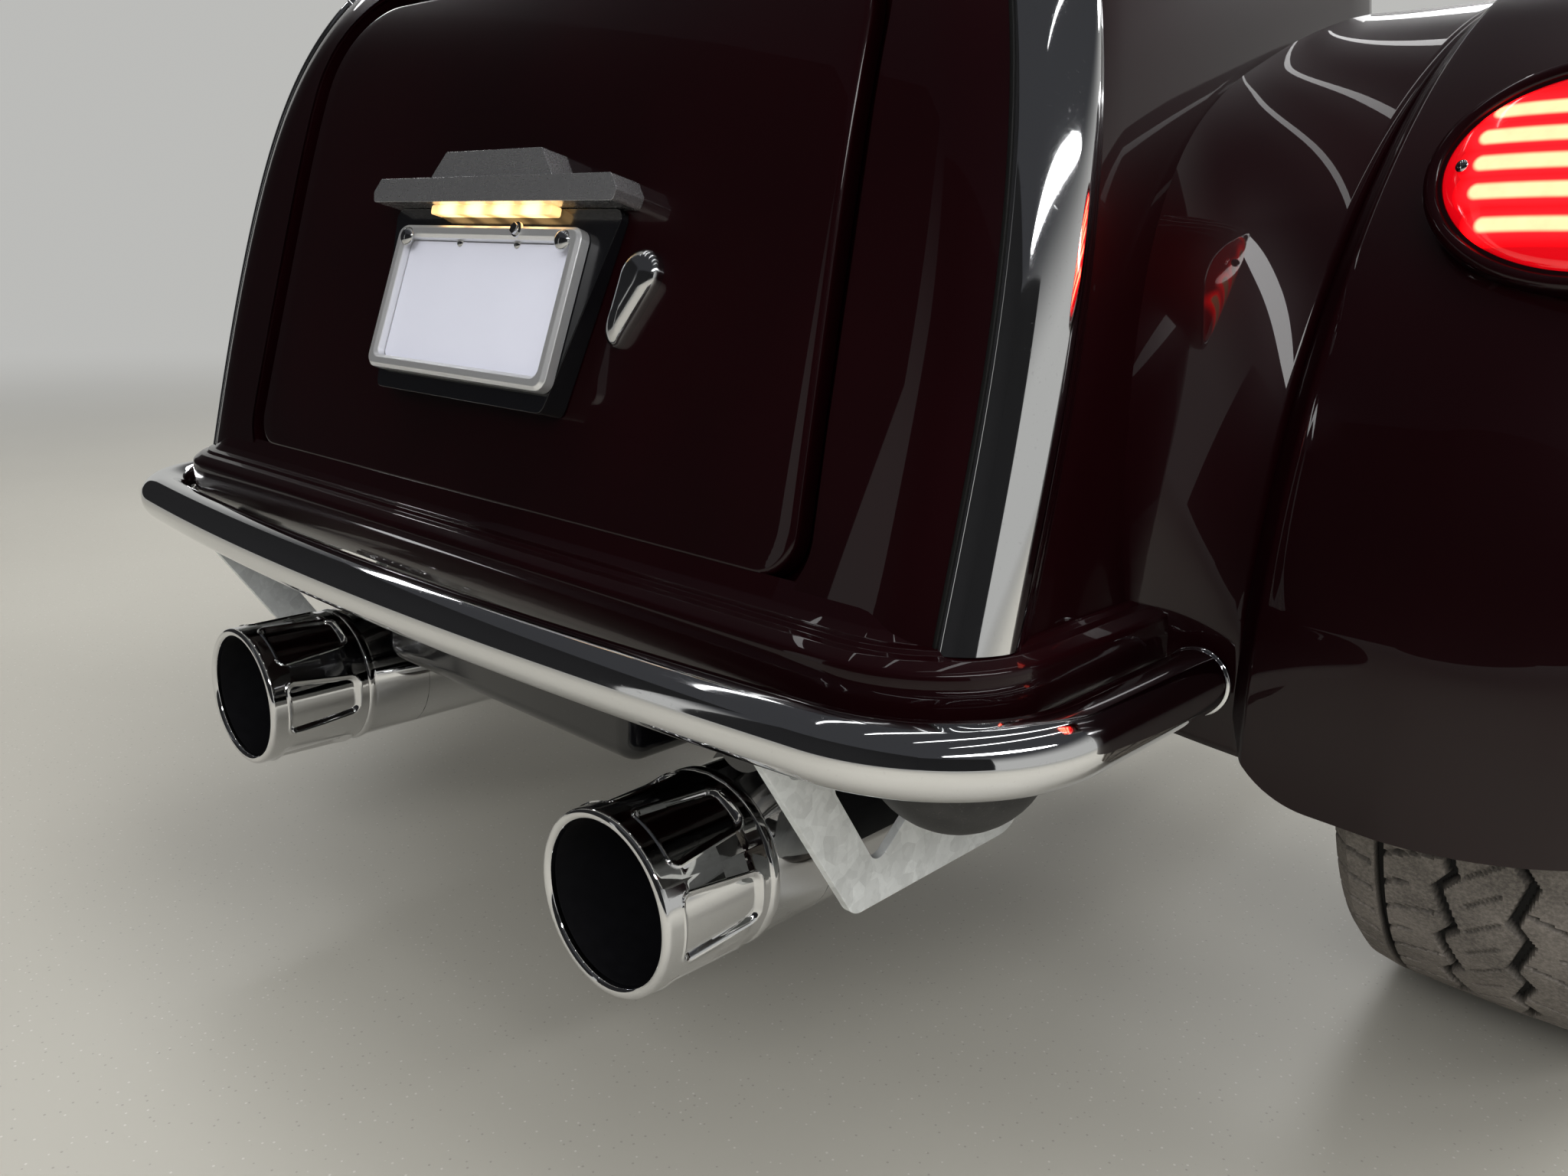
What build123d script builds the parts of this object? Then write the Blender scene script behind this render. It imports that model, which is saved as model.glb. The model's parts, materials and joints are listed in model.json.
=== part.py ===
"""Rear end of a motor trike: trunk body, fenders, bumper, twin exhausts, swingarm axle and road wheels.

Millimetres. +Y points to the front of the vehicle, +X to its right and +Z up. The origin is the centre
of the swingarm pivot, by which the rear end hangs on the front half of the vehicle.
"""
from build123d import *
import math
import os

# Placing of the main lines
PIVOT_HEIGHT = 345.0            # swingarm pivot above the road
AXLE_BACK = 500.0               # axle line behind the pivot
BUMPER_BACK = 1190.0            # centre line of the bumper's rearmost point behind the pivot
BUMPER_HEIGHT = 320.0           # centre line of the bumper above the road

# Running gear
TYRE_RADIUS = 323.0
TYRE_HALF_WIDTH = 103.0
TREAD_HALF_WIDTH = 88.0
TREAD_GROOVE_DEPTH = 7.0
TREAD_GROOVE_WIDTH = 9.0
TREAD_GROOVES = (-58.0, -20.0, 20.0, 58.0)
BEAD_RADIUS = 190.5
RIM_HALF_WIDTH = 92.0
RIM_WALL = 8.0
FLANGE_HEIGHT = 12.0
FLANGE_WIDTH = 6.0
WHEEL_X = 605.0                 # wheel's middle plane from the vehicle's middle
HUB_FACE = 12.0                 # wheel's mounting face outboard of its middle plane
HUB_RADIUS = 72.0
WHEEL_HUB_DEPTH = 30.0
SPOKES = 10
SPOKE_WIDTH = 26.0
SPOKE_DEPTH = 22.0
PILOT_RADIUS = 34.0
SHAFT_RADIUS = 17.5
RUNNING_FIT = 0.05
DISC_RADIUS = 146.0
DISC_INNER_RADIUS = 84.0
DISC_THICKNESS = 7.0
DISC_INBOARD = 38.0             # disc's outboard face inboard of the wheel's mounting face
BELL_RADIUS = 78.0
BELL_WALL = 7.0
HUB_FLANGE = 12.0
MOVING_GAP = 5.0                # air kept round whatever moves
SEAT = 0.3                      # air left at a seat between curved pieces

# Axle housing
TUBE_RADIUS = 38.0
HOUSING_RADIUS = 105.0
HOUSING_HALF_WIDTH = 70.0
NECK_RADIUS = 55.0
NECK_END = 132.0
AXLE_FLANGE_RADIUS = 62.0
AXLE_FLANGE = 10.0
PULLEY_RADIUS = 112.0
PULLEY_WIDTH = 28.0
PULLEY_TEETH = 36
PULLEY_NOTCH = 4.2
PULLEY_LIP = 3.0
PULLEY_GAP = 6.0

# Swingarm
PIVOT_TUBE_RADIUS = 28.0
PIVOT_BORE_RADIUS = 10.0
PIVOT_TUBE_HALF = 115.0
ARM_WIDTH = 40.0
ARM_HEIGHT = 64.0
ARM_FRONT_X = 88.0
ARM_REAR_X = 190.0
BRACE_BACK = 110.0
CLAMP_LENGTH = 110.0
CLAMP_HEIGHT = 104.0

# Frame
RAIL_X = 315.0
RAIL_RADIUS = 19.0
RAIL_BEND = 50.0
RAIL_REAR_BACK = 1150.0
CROSS_HEIGHT = 240.0            # cross tube above the pivot
CROSS_BACK = 330.0
RISER_TOP = 120.0
STAY_X = 140.0
STAY_FRONT_BACK = 70.0
STAY_PLATE = 10.0
STAY_PLATE_WIDTH = 90.0
STAY_PLATE_HEIGHT = 120.0
STAY_HOLE_RADIUS = 5.5
STAY_HOLE_SPACING_X = 60.0
STAY_HOLE_SPACING_Z = 84.0

# Trunk body: each section is a rounded oblong on a plane that rises towards the front
TRUNK_WALL = 12.0
TRUNK_FRONT = 560.0             # ahead of the bumper
TRUNK_FRONT_CORNER = 30.0
TRUNK_BOTTOM = -5.0             # floor's underside above the bumper
# height above the bumper, rise in degrees, back edge ahead of the bumper, half width, rear corner radius
TRUNK_SECTIONS = (
    (TRUNK_BOTTOM, 0.0, 60.0, 432.0, 48.0),
    (100.0, 3.0, 84.0, 431.0, 49.0),
    (205.0, 9.0, 109.0, 426.0, 51.0),
    (305.0, 17.0, 134.0, 409.0, 55.0),
    (395.0, 21.0, 166.0, 372.0, 62.0),
    (458.0, 18.0, 216.0, 310.0, 70.0),
)
LEDGE_BULGE = 15.0
LEDGE_CORNER = 80.0
LEDGE_EDGE = 16.0
LEDGE_TOP = 38.0
LEDGE_FRONT = 330.0
TUB_HALF_WIDTH = 160.0
TUB_REAR = 96.0
TUB_FRONT = 540.0
TUB_DEPTH = 105.0
TUB_EDGE = 18.0

# Trunk door, drawn on the leaning rear face
FACE_LEAN = 13.0
FACE_REAR = 74.0
DOOR_BOTTOM = 55.0
DOOR_HEIGHT = 372.0
DOOR_HALF_WIDTH = 316.0
DOOR_TOP_HALF_WIDTH = 288.0
DOOR_CORNER = 26.0
DOOR_TOP_CORNER = 75.0
DOOR_THICKNESS = 15.0
DOOR_EDGE = 3.0                 # rounding of the door's outer edge
DOOR_CHANNEL = 14.0
DOOR_REACH = 75.0               # how far the door's outline is swept each way
JAMB_WIDTH = 30.0
JAMB_DEPTH = 21.0
JAMB_WALL = 7.0
STOP_REACH = 16.0               # how far the stop reaches behind the door's edge
STOP_END_X = -268.0             # the stop ends here, clear of the hinge arms
HINGE_X = -372.0
HINGE_DEPTH = 24.0
HINGE_HEIGHTS = (70.0, 215.0)   # along the leaning face, above the door's bottom edge
HINGE_WIDTH = 24.0
ARM_BAR = 10.0
ARM_DEEP = 74.0
ARM_REACH = 76.0
KNUCKLE_RADIUS = 9.0
PIN_RADIUS = 4.0
EAR_THICKNESS = 5.0
EAR_GAP = 0.5
EAR_RADIUS = 10.0

# Corner trim
TRIM_PROUD = 7.0
TRIM_INNER = 20.0
TRIM_SIDE = 62.0
TRIM_BOTTOM = 40.0
TRIM_TOP = 425.0

# Fenders, turned about the axle line
FENDER_INNER_X = 486.0
FENDER_CREASE_RADIUS = 430.0
FENDER_CREASE = 12.0             # width of the bevel along the inner crease
FENDER_SOFT_X = 575.0
FENDER_CROWN = 5.0
FENDER_OUTER_X = 716.0
FENDER_EDGE_RADIUS = 340.0
FENDER_WALL = 5.0
FENDER_BRIDGE_RADIUS = 300.0
FENDER_BELOW = 9.0              # degrees that each end of the fender reaches below the axle line
LAMP_X = 610.0
LAMP_ANGLE = 37.2               # direction from the axle line to the lamp, above level
LAMP_PROUD = 26.8               # lamp's middle outside the fender's crease
LAMP_HALF_WIDTH = 72.0
LAMP_HALF_HEIGHT = 51.0
LAMP_TILT = 20.0
LAMP_SUNK = 14.0                # depth of the lens pocket
LAMP_RIM = 9.0
LAMP_DEPTH = 150.0
LENS_DOME = 9.0

# Bumper tube
BUMPER_HALF_WIDTH = 482.0
BUMPER_BOW = 20.0
BUMPER_CORNER = 99.0
BUMPER_RETURN = 132.0
BUMPER_RADIUS = 19.2
BUMPER_CAP = 3.0
BUMPER_CAP_LIP = 1.2
BRACKET_X = 338.0
BRACKET_THICKNESS = 6.0
BRACKET_CORNER = 14.0
POD_X = 397.0
POD_AHEAD = 124.0
POD_RADIUS = 53.0
POD_NECK = 16.0

# Exhausts
MUFFLER_X = 237.0
MUFFLER_HEIGHT = -142.5         # above the bumper
MUFFLER_RADIUS = 57.0
MUFFLER_FRONT = 590.0
PIPE_RADIUS = 25.0
PIPE_WALL = 2.0
PIPE_FRONT = 1110.0
TIP_REAR = 7.0
TIP_SEAM = 92.0
TIP_RADIUS = 57.9
TIP_BORE = 51.0
TIP_BORE_DEPTH = 150.0
TIP_FRONT = 150.0
TIP_SUNK = 3.2
TIP_WINDOWS = 6
STRAP = 8.0
STRAP_REAR = 150.0
STRAP_WIDTH = 60.0

# Number plate group on the door, placed along the leaning face from the bottom edge of the door
PLATE_UP = 134.0                # middle of the plate frame
PLATE_OUT = 22.5                # front of the plate frame, out of the face
PLATE_LEAN = 19.0
PLATE_HALF_WIDTH = 107.5
PLATE_HALF_HEIGHT = 53.5
PLATE_FRAME = 9.5
PLATE_FRAME_DEPTH = 10.0
PLATE_THICKNESS = 2.0
# height up the face and half width of the black housing
HOUSING_OUTLINE = ((67.0, 101.0), (163.0, 124.0), (201.0, 133.0))
HOUSING_CORNER = 7.0
# height up the face and half width of the hood's lower and upper band
HOOD_BAND = ((201.5, 140.0), (209.0, 142.0), (218.5, 134.0))
HOOD_TOP = ((216.0, 74.0), (237.0, 56.0))
HOOD_DEPTH = 22.0
HOOD_TOP_DEPTH = 19.0
HOOD_CORNER = 3.0
STRIP_HALF_WIDTH = 71.0
STRIP_UP = (194.5, 201.2)
STRIP_DEPTH = (6.6, 15.0)
HANDLE_WIDE = (157.0, 162.0, 15.0)      # x, height up the face and radius of each end
HANDLE_NARROW = (142.0, 123.0, 7.0)
HANDLE_DEPTH = 13.0
HANDLE_EDGE = 4.0

AXLE_Y = -AXLE_BACK
AXLE_Z = TYRE_RADIUS - PIVOT_HEIGHT
BUMPER_Y = -BUMPER_BACK
BUMPER_Z = BUMPER_HEIGHT - PIVOT_HEIGHT
AXLE_LINE = Axis((0, AXLE_Y, AXLE_Z), (1, 0, 0))


def ahead(distance):
    """Y of a place so far ahead of the bumper's rearmost centre line."""
    return BUMPER_Y + distance


def over(height):
    """Z of a place so far above the bumper's centre line."""
    return BUMPER_Z + height


def left_of(shape):
    """The same piece on the left side."""
    return mirror(shape, about=Plane.YZ)


def rod(radius, start, end):
    """Round bar from one point to another."""
    run = Vector(*end) - Vector(*start)
    return Solid.make_cylinder(radius, run.length, Plane(origin=start, z_dir=run))


def block(x, y, z):
    """Box between pairs of coordinates."""
    return Pos((x[0] + x[1]) / 2, (y[0] + y[1]) / 2, (z[0] + z[1]) / 2) * Box(
        x[1] - x[0], y[1] - y[0], z[1] - z[0])


def turned(points, about=AXLE_LINE, arc=360.0, start=0.0):
    """Solid turned about the axle line from (x, radius) points; start is measured back from straight up."""
    outline = Polyline(*[(x, AXLE_Y, AXLE_Z + radius) for x, radius in points], close=True)
    face = make_face(outline)
    return revolve(face.rotate(about, start), about, arc)


def tube_along(points, radius, bend):
    """Round tube along straight runs joined by tangent arcs."""
    path = FilletPolyline(*points, radius=bend)
    start = Plane(origin=path @ 0, z_dir=path % 0)
    return sweep(start * Circle(radius), path=path)


# Wheels, tyres and brakes

def tyre():
    tread = TREAD_HALF_WIDTH
    side = TYRE_HALF_WIDTH
    bead = RIM_HALF_WIDTH - FLANGE_WIDTH - SEAT
    lowest = BEAD_RADIUS + SEAT
    half = [(0, TYRE_RADIUS), (tread - 22, TYRE_RADIUS - 1.5), (tread - 4, TYRE_RADIUS - 5),
            (tread + 6, TYRE_RADIUS - 14), (side - 3, TYRE_RADIUS - 38), (side, TYRE_RADIUS - 64),
            (side - 2, TYRE_RADIUS - 86), (bead + 8, lowest + 20), (bead, lowest + 13), (bead, lowest)]
    points = half + [(-x, radius) for x, radius in reversed(half[1:])]
    body = turned([(WHEEL_X + x, radius) for x, radius in points])
    for groove in TREAD_GROOVES:
        low = WHEEL_X + groove - TREAD_GROOVE_WIDTH / 2
        high = low + TREAD_GROOVE_WIDTH
        floor = TYRE_RADIUS - TREAD_GROOVE_DEPTH
        body -= turned([(low, floor), (high, floor), (high, TYRE_RADIUS + 5), (low, TYRE_RADIUS + 5)])
    return body


def wheel():
    outer = BEAD_RADIUS
    inner = BEAD_RADIUS - RIM_WALL
    lip = BEAD_RADIUS + FLANGE_HEIGHT
    half = RIM_HALF_WIDTH
    barrel = turned([(WHEEL_X + x, radius) for x, radius in (
        (-half, inner), (half, inner), (half, lip), (half - FLANGE_WIDTH, lip),
        (half - FLANGE_WIDTH, outer),
        (-half + FLANGE_WIDTH, outer), (-half + FLANGE_WIDTH, lip), (-half, lip))])
    face = WHEEL_X + HUB_FACE
    hub = turned([(face, PILOT_RADIUS + SEAT), (face, HUB_RADIUS), (face + WHEEL_HUB_DEPTH - 6, HUB_RADIUS),
                  (face + WHEEL_HUB_DEPTH, HUB_RADIUS - 8), (face + WHEEL_HUB_DEPTH, PILOT_RADIUS + SEAT)])
    spoke = block((face + 4, face + 4 + SPOKE_DEPTH), (AXLE_Y - SPOKE_WIDTH / 2, AXLE_Y + SPOKE_WIDTH / 2),
                  (AXLE_Z + HUB_RADIUS - 6, AXLE_Z + inner + 3))
    body = barrel + hub
    for turn in range(SPOKES):
        body += spoke.rotate(AXLE_LINE, 360.0 * turn / SPOKES)
    return body


def hub_and_disc():
    """Stub shaft, hub flange with its pilot, and the brake disc on its bell."""
    face = WHEEL_X + HUB_FACE
    back = face - HUB_FLANGE
    disc_out = face - DISC_INBOARD
    disc_in = disc_out - DISC_THICKNESS
    shaft_end = WHEEL_X - 135.0
    return turned([
        (shaft_end, 0), (shaft_end, SHAFT_RADIUS), (back - 6, SHAFT_RADIUS),
        (back - 6, BELL_RADIUS - BELL_WALL),
        (disc_in, BELL_RADIUS - BELL_WALL), (disc_in, DISC_RADIUS), (disc_out, DISC_RADIUS),
        (disc_out, BELL_RADIUS), (back, BELL_RADIUS), (back, HUB_RADIUS), (face - SEAT / 3, HUB_RADIUS),
        (face - SEAT / 3, PILOT_RADIUS), (face + WHEEL_HUB_DEPTH - 4, PILOT_RADIUS),
        (face + WHEEL_HUB_DEPTH - 4, 0)])


def brake_caliper():
    """Caliper over the back of the disc, on a plate against the axle flange."""
    disc_out = WHEEL_X + HUB_FACE - DISC_INBOARD
    disc_in = disc_out - DISC_THICKNESS
    plate_in = disc_in - MOVING_GAP - 9.0
    body = block((plate_in, disc_out + 17), (AXLE_Y - 168, AXLE_Y - 92), (AXLE_Z - 42, AXLE_Z + 42))
    body = fillet(body.edges().filter_by(Axis.X), 12)
    slot = turned([(disc_in - MOVING_GAP, 0), (disc_in - MOVING_GAP, DISC_RADIUS + MOVING_GAP),
                   (disc_out + MOVING_GAP, DISC_RADIUS + MOVING_GAP), (disc_out + MOVING_GAP, 0)])
    arm = block((plate_in, plate_in + 9), (AXLE_Y - 110, AXLE_Y - SHAFT_RADIUS - 8),
                (AXLE_Z - 30, AXLE_Z + 30))
    body = body - slot
    return body + arm


def axle_housing():
    """Differential case, belt neck, axle tubes and end flanges, bored at the ends for the stub shafts."""
    disc_in = WHEEL_X + HUB_FACE - DISC_INBOARD - DISC_THICKNESS
    end = disc_in - MOVING_GAP - 9.0
    half = HOUSING_HALF_WIDTH
    case = turned([(-half, 0), (-half, HOUSING_RADIUS - 22), (-half + 18, HOUSING_RADIUS),
                   (half - 18, HOUSING_RADIUS), (half, HOUSING_RADIUS - 22), (half, 0)])
    neck = turned([(-NECK_END, 0), (-NECK_END, NECK_RADIUS), (-half + 2, NECK_RADIUS), (-half + 2, 0)])
    cone = turned([(half - 2, 0), (half - 2, 70), (half + 46, TUBE_RADIUS), (half + 46, 0)])
    body = case + neck + cone
    for side in (1, -1):
        bore = SHAFT_RADIUS + RUNNING_FIT
        body += turned([(side * half * 0.9, 0), (side * half * 0.9, TUBE_RADIUS),
                        (side * (end - AXLE_FLANGE), TUBE_RADIUS),
                        (side * (end - AXLE_FLANGE), AXLE_FLANGE_RADIUS),
                        (side * end, AXLE_FLANGE_RADIUS), (side * end, 0)])
        body -= turned([(side * (WHEEL_X - 150), 0), (side * (WHEEL_X - 150), bore),
                        (side * (end + 1), bore),
                        (side * (end + 1), 0)])
    return body


def drive_pulley():
    """Toothed belt pulley that turns on the neck of the differential case."""
    near = -HOUSING_HALF_WIDTH - PULLEY_GAP
    far = near - PULLEY_WIDTH
    body = turned([(near, NECK_RADIUS + RUNNING_FIT), (near, PULLEY_RADIUS), (far, PULLEY_RADIUS),
                   (far, NECK_RADIUS + RUNNING_FIT)])
    rim = AXLE_Z + PULLEY_RADIUS
    cut = rod(PULLEY_NOTCH, (far + PULLEY_LIP, AXLE_Y, rim), (near - PULLEY_LIP, AXLE_Y, rim))
    for tooth in range(PULLEY_TEETH):
        body -= cut.rotate(AXLE_LINE, 360.0 * tooth / PULLEY_TEETH)
    return body


# Swingarm, frame and shock absorbers

def swingarm():
    half = PIVOT_TUBE_HALF
    body = rod(PIVOT_TUBE_RADIUS, (-half, 0, 0), (half, 0, 0))
    low = -ARM_HEIGHT / 2 - 8
    high = ARM_HEIGHT / 2 - 8
    knee = -BRACE_BACK
    for side in (1, -1):
        plan = Polyline((side * (ARM_FRONT_X - ARM_WIDTH / 2), -12),
                        (side * (ARM_FRONT_X + ARM_WIDTH / 2), -12),
                        (side * (ARM_FRONT_X + ARM_WIDTH / 2), knee),
                        (side * (ARM_REAR_X + ARM_WIDTH / 2), knee - 130),
                        (side * (ARM_REAR_X + ARM_WIDTH / 2), AXLE_Y),
                        (side * (ARM_REAR_X - ARM_WIDTH / 2), AXLE_Y),
                        (side * (ARM_REAR_X - ARM_WIDTH / 2), knee - 140),
                        (side * (ARM_FRONT_X - ARM_WIDTH / 2), knee - 14),
                        close=True)
        body += extrude(Pos(0, 0, low) * make_face(plan), high - low)
        body += block(sorted((side * (ARM_REAR_X - ARM_WIDTH / 2), side * (ARM_REAR_X + ARM_WIDTH / 2))),
                      (AXLE_Y - CLAMP_LENGTH / 2, AXLE_Y + CLAMP_LENGTH / 2),
                      (AXLE_Z - CLAMP_HEIGHT / 2, AXLE_Z + CLAMP_HEIGHT / 2))
    body += block((-ARM_FRONT_X, ARM_FRONT_X), (knee - 20, knee + 20), (low + 8, high - 8))
    body -= rod(TUBE_RADIUS + 0.1, (-300, AXLE_Y, AXLE_Z), (300, AXLE_Y, AXLE_Z))
    return body - rod(PIVOT_BORE_RADIUS, (-half - 1, 0, 0), (half + 1, 0, 0))


def frame_rail():
    """Right rail: flat under the trunk, up in front of it and forward to the cross tube."""
    low = over(TRUNK_BOTTOM) - SEAT - RAIL_RADIUS
    riser = ahead(TRUNK_FRONT) + RAIL_BEND
    points = [(RAIL_X, -RAIL_REAR_BACK, low), (RAIL_X, riser, low), (RAIL_X, riser, RISER_TOP),
              (RAIL_X, -CROSS_BACK - 90, CROSS_HEIGHT),
              (RAIL_X, -CROSS_BACK - RAIL_RADIUS - SEAT, CROSS_HEIGHT)]
    return tube_along(points, RAIL_RADIUS, [RAIL_BEND, RAIL_BEND, RAIL_BEND])


def frame_cross_tube():
    reach = RAIL_X + RAIL_RADIUS
    return rod(RAIL_RADIUS, (-reach, -CROSS_BACK, CROSS_HEIGHT), (reach, -CROSS_BACK, CROSS_HEIGHT))


def frame_stay():
    """Right stay from the cross tube to a four-bolt plate for the front half of the vehicle."""
    front = -STAY_FRONT_BACK
    body = rod(RAIL_RADIUS - 3, (STAY_X, -CROSS_BACK + 8, CROSS_HEIGHT),
               (STAY_X, front - STAY_PLATE / 2, CROSS_HEIGHT))
    plate = block((STAY_X - STAY_PLATE_WIDTH / 2, STAY_X + STAY_PLATE_WIDTH / 2),
                  (front - STAY_PLATE, front),
                  (CROSS_HEIGHT - STAY_PLATE_HEIGHT / 2, CROSS_HEIGHT + STAY_PLATE_HEIGHT / 2))
    body += fillet(plate.edges().filter_by(Axis.Y), 12)
    body -= rod(RAIL_RADIUS + SEAT, (0, -CROSS_BACK, CROSS_HEIGHT), (2 * STAY_X, -CROSS_BACK, CROSS_HEIGHT))
    for x in (-0.5, 0.5):
        for z in (-0.5, 0.5):
            spot = (STAY_X + x * STAY_HOLE_SPACING_X, CROSS_HEIGHT + z * STAY_HOLE_SPACING_Z)
            body -= rod(STAY_HOLE_RADIUS, (spot[0], front - STAY_PLATE - 5, spot[1]),
                        (spot[0], front + 5, spot[1]))
    return body


def shock_absorber():
    """Right shock absorber, upright between the axle tube and the cross tube."""
    foot = Vector(260, AXLE_Y, AXLE_Z)
    head = Vector(260, -CROSS_BACK, CROSS_HEIGHT)
    run = (head - foot).normalized()
    length = (head - foot).length

    def at(distance):
        return tuple(foot + run * distance)

    body = rod(30, at(TUBE_RADIUS - 10), at(TUBE_RADIUS + 20))
    body += rod(12, at(TUBE_RADIUS + 18), at(length - RAIL_RADIUS - 60))
    body += rod(32, at(TUBE_RADIUS + 34), at(TUBE_RADIUS + 130))
    body += rod(26, at(TUBE_RADIUS + 128), at(length - RAIL_RADIUS - 26))
    body += rod(17, at(length - RAIL_RADIUS - 30), at(length - RAIL_RADIUS + 10))
    body -= rod(TUBE_RADIUS + SEAT, (200, AXLE_Y, AXLE_Z), (320, AXLE_Y, AXLE_Z))
    return body - rod(RAIL_RADIUS + SEAT, (200, -CROSS_BACK, CROSS_HEIGHT),
                      (320, -CROSS_BACK, CROSS_HEIGHT))


# Trunk body

def section_plane(section, inset=0.0, lift=0.0):
    """Plane of one of the trunk's sections, which rises towards the front."""
    height, rise, rear, half_width, corner = section
    slope = math.radians(rise)
    up = Vector(0, -math.sin(slope), math.cos(slope))
    return Plane(origin=Vector(0, ahead(rear + inset), over(height)) + up * lift, x_dir=(1, 0, 0), z_dir=up)


def trunk_walls(inset=0.0):
    """The trunk as one closed form, or the same form with its walls moved in and its full height."""
    sections = []
    for section in TRUNK_SECTIONS:
        height, rise, rear, half_width, corner = section
        depth = (TRUNK_FRONT - rear - 2 * inset) / math.cos(math.radians(rise))
        plane = section_plane(section, inset)
        half = half_width - inset
        radius = max(corner - inset, 8.0)
        front = max(TRUNK_FRONT_CORNER - inset, 8.0)
        line = FilletPolyline((-half, 0), (half, 0), (half, depth), (-half, depth), close=True,
                              radius=(radius, radius, front, front))
        sections.append(plane * make_face(line))
    return loft(sections)


def trunk_room(inset):
    """The form inside walls, floor and roof of one thickness."""
    room = split(trunk_walls(inset), bisect_by=section_plane(TRUNK_SECTIONS[0], lift=inset), keep=Keep.TOP)
    return split(room, bisect_by=section_plane(TRUNK_SECTIONS[-1], lift=-inset), keep=Keep.BOTTOM)


def face_plane(along=0.0, depth=0.0, x=0.0):
    """Plane on the leaning rear face, at a distance up it and a depth behind it; its Z points out."""
    lean = math.radians(FACE_LEAN)
    up = Vector(0, math.sin(lean), math.cos(lean))
    out = Vector(0, -math.cos(lean), math.sin(lean))
    origin = Vector(x, ahead(FACE_REAR), over(DOOR_BOTTOM)) + up * along - out * depth
    return Plane(origin=origin, x_dir=(1, 0, 0), z_dir=out)


def door_prism(grow=0.0, inner=-DOOR_REACH, outer=DOOR_REACH):
    """The door's outline, grown all round, swept square through the rear face."""
    bottom = DOOR_HALF_WIDTH + grow
    top = DOOR_TOP_HALF_WIDTH + grow
    low = -grow
    high = DOOR_HEIGHT + grow
    line = FilletPolyline((-bottom, low), (bottom, low), (top, high), (-top, high), close=True,
                          radius=(DOOR_CORNER + grow, DOOR_CORNER + grow, DOOR_TOP_CORNER + grow,
                                  DOOR_TOP_CORNER + grow))
    face = face_plane(depth=-inner) * make_face(line)
    return extrude(face, outer - inner, dir=face_plane().z_dir)


def trunk_shell():
    outer = trunk_walls()
    floor, rise, rear, half_width, corner = TRUNK_SECTIONS[0]
    half = half_width + LEDGE_BULGE
    back = ahead(rear - LEDGE_BULGE)
    plan = FilletPolyline((-half, back), (half, back), (half, ahead(LEDGE_FRONT)),
                          (-half, ahead(LEDGE_FRONT)),
                          close=True, radius=(LEDGE_CORNER, LEDGE_CORNER, 10, 10))
    ledge = extrude(Pos(0, 0, over(floor)) * make_face(plan), LEDGE_TOP - floor)
    ends = ledge.faces().sort_by(Axis.Z)
    ledge = fillet(ends[-1].edges() + ends[0].edges(), LEDGE_EDGE)
    shell = (outer + ledge) - trunk_room(TRUNK_WALL)
    shell -= door_prism(DOOR_CHANNEL)
    back = trunk_walls(JAMB_DEPTH + JAMB_WALL)
    jamb = (trunk_room(TRUNK_WALL - 1) - back) & (door_prism(JAMB_WIDTH) - door_prism(DOOR_CHANNEL))
    stop = (trunk_walls(JAMB_DEPTH) - back) & (door_prism(JAMB_WIDTH) - door_prism(-STOP_REACH))
    hinge_side = block((-600, STOP_END_X), (BUMPER_Y, 0), (-400, 900))
    return shell + ((jamb + stop) - hinge_side)


def trunk_tub():
    body = block((-TUB_HALF_WIDTH, TUB_HALF_WIDTH), (ahead(TUB_REAR), ahead(TUB_FRONT)),
                 (over(TRUNK_BOTTOM) - TUB_DEPTH, over(TRUNK_BOTTOM)))
    lower = body.edges().filter_by(lambda edge: edge.center().Z < over(TRUNK_BOTTOM) - 1)
    return fillet(lower, TUB_EDGE)


def corner_trim():
    """Right corner trim: a convex chrome strip over the trunk's rear corner."""
    skin = trunk_walls(-TRIM_PROUD) - trunk_walls(-SEAT)
    points = []
    for height, rise, rear, half_width, corner in TRUNK_SECTIONS:
        points.append((half_width - TRIM_INNER, over(height)))
    region = Polyline(*points, (points[-1][0] + 200, points[-1][1]), (points[0][0] + 200, points[0][1]),
                      close=True)
    front_view = extrude(Plane.XZ * make_face(region), amount=1500, both=True)
    side = [(ahead(rear + TRIM_SIDE), over(height)) for height, rise, rear, half_width,
            corner in TRUNK_SECTIONS]
    band = Polyline(*side, (side[-1][0] - 300, side[-1][1]), (side[0][0] - 300, side[0][1]), close=True)
    side_view = extrude(Plane.YZ * make_face(band), amount=700)
    level = block((0, 700), (BUMPER_Y - 200, 0), (over(TRIM_BOTTOM), over(TRIM_TOP)))
    return skin & front_view & side_view & level


# Trunk door

def trunk_door():
    door = (trunk_walls() - trunk_walls(DOOR_THICKNESS)) & door_prism()
    front = door.faces().sort_by(SortBy.AREA)[-2:].sort_by(Axis.Y)[0]
    return fillet(front.edges(), DOOR_EDGE)


def hinge_point(along, offset=0.0):
    """Point on the hinge line, so far up the face."""
    return tuple(face_plane(along + offset, HINGE_DEPTH, HINGE_X).origin)


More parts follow.
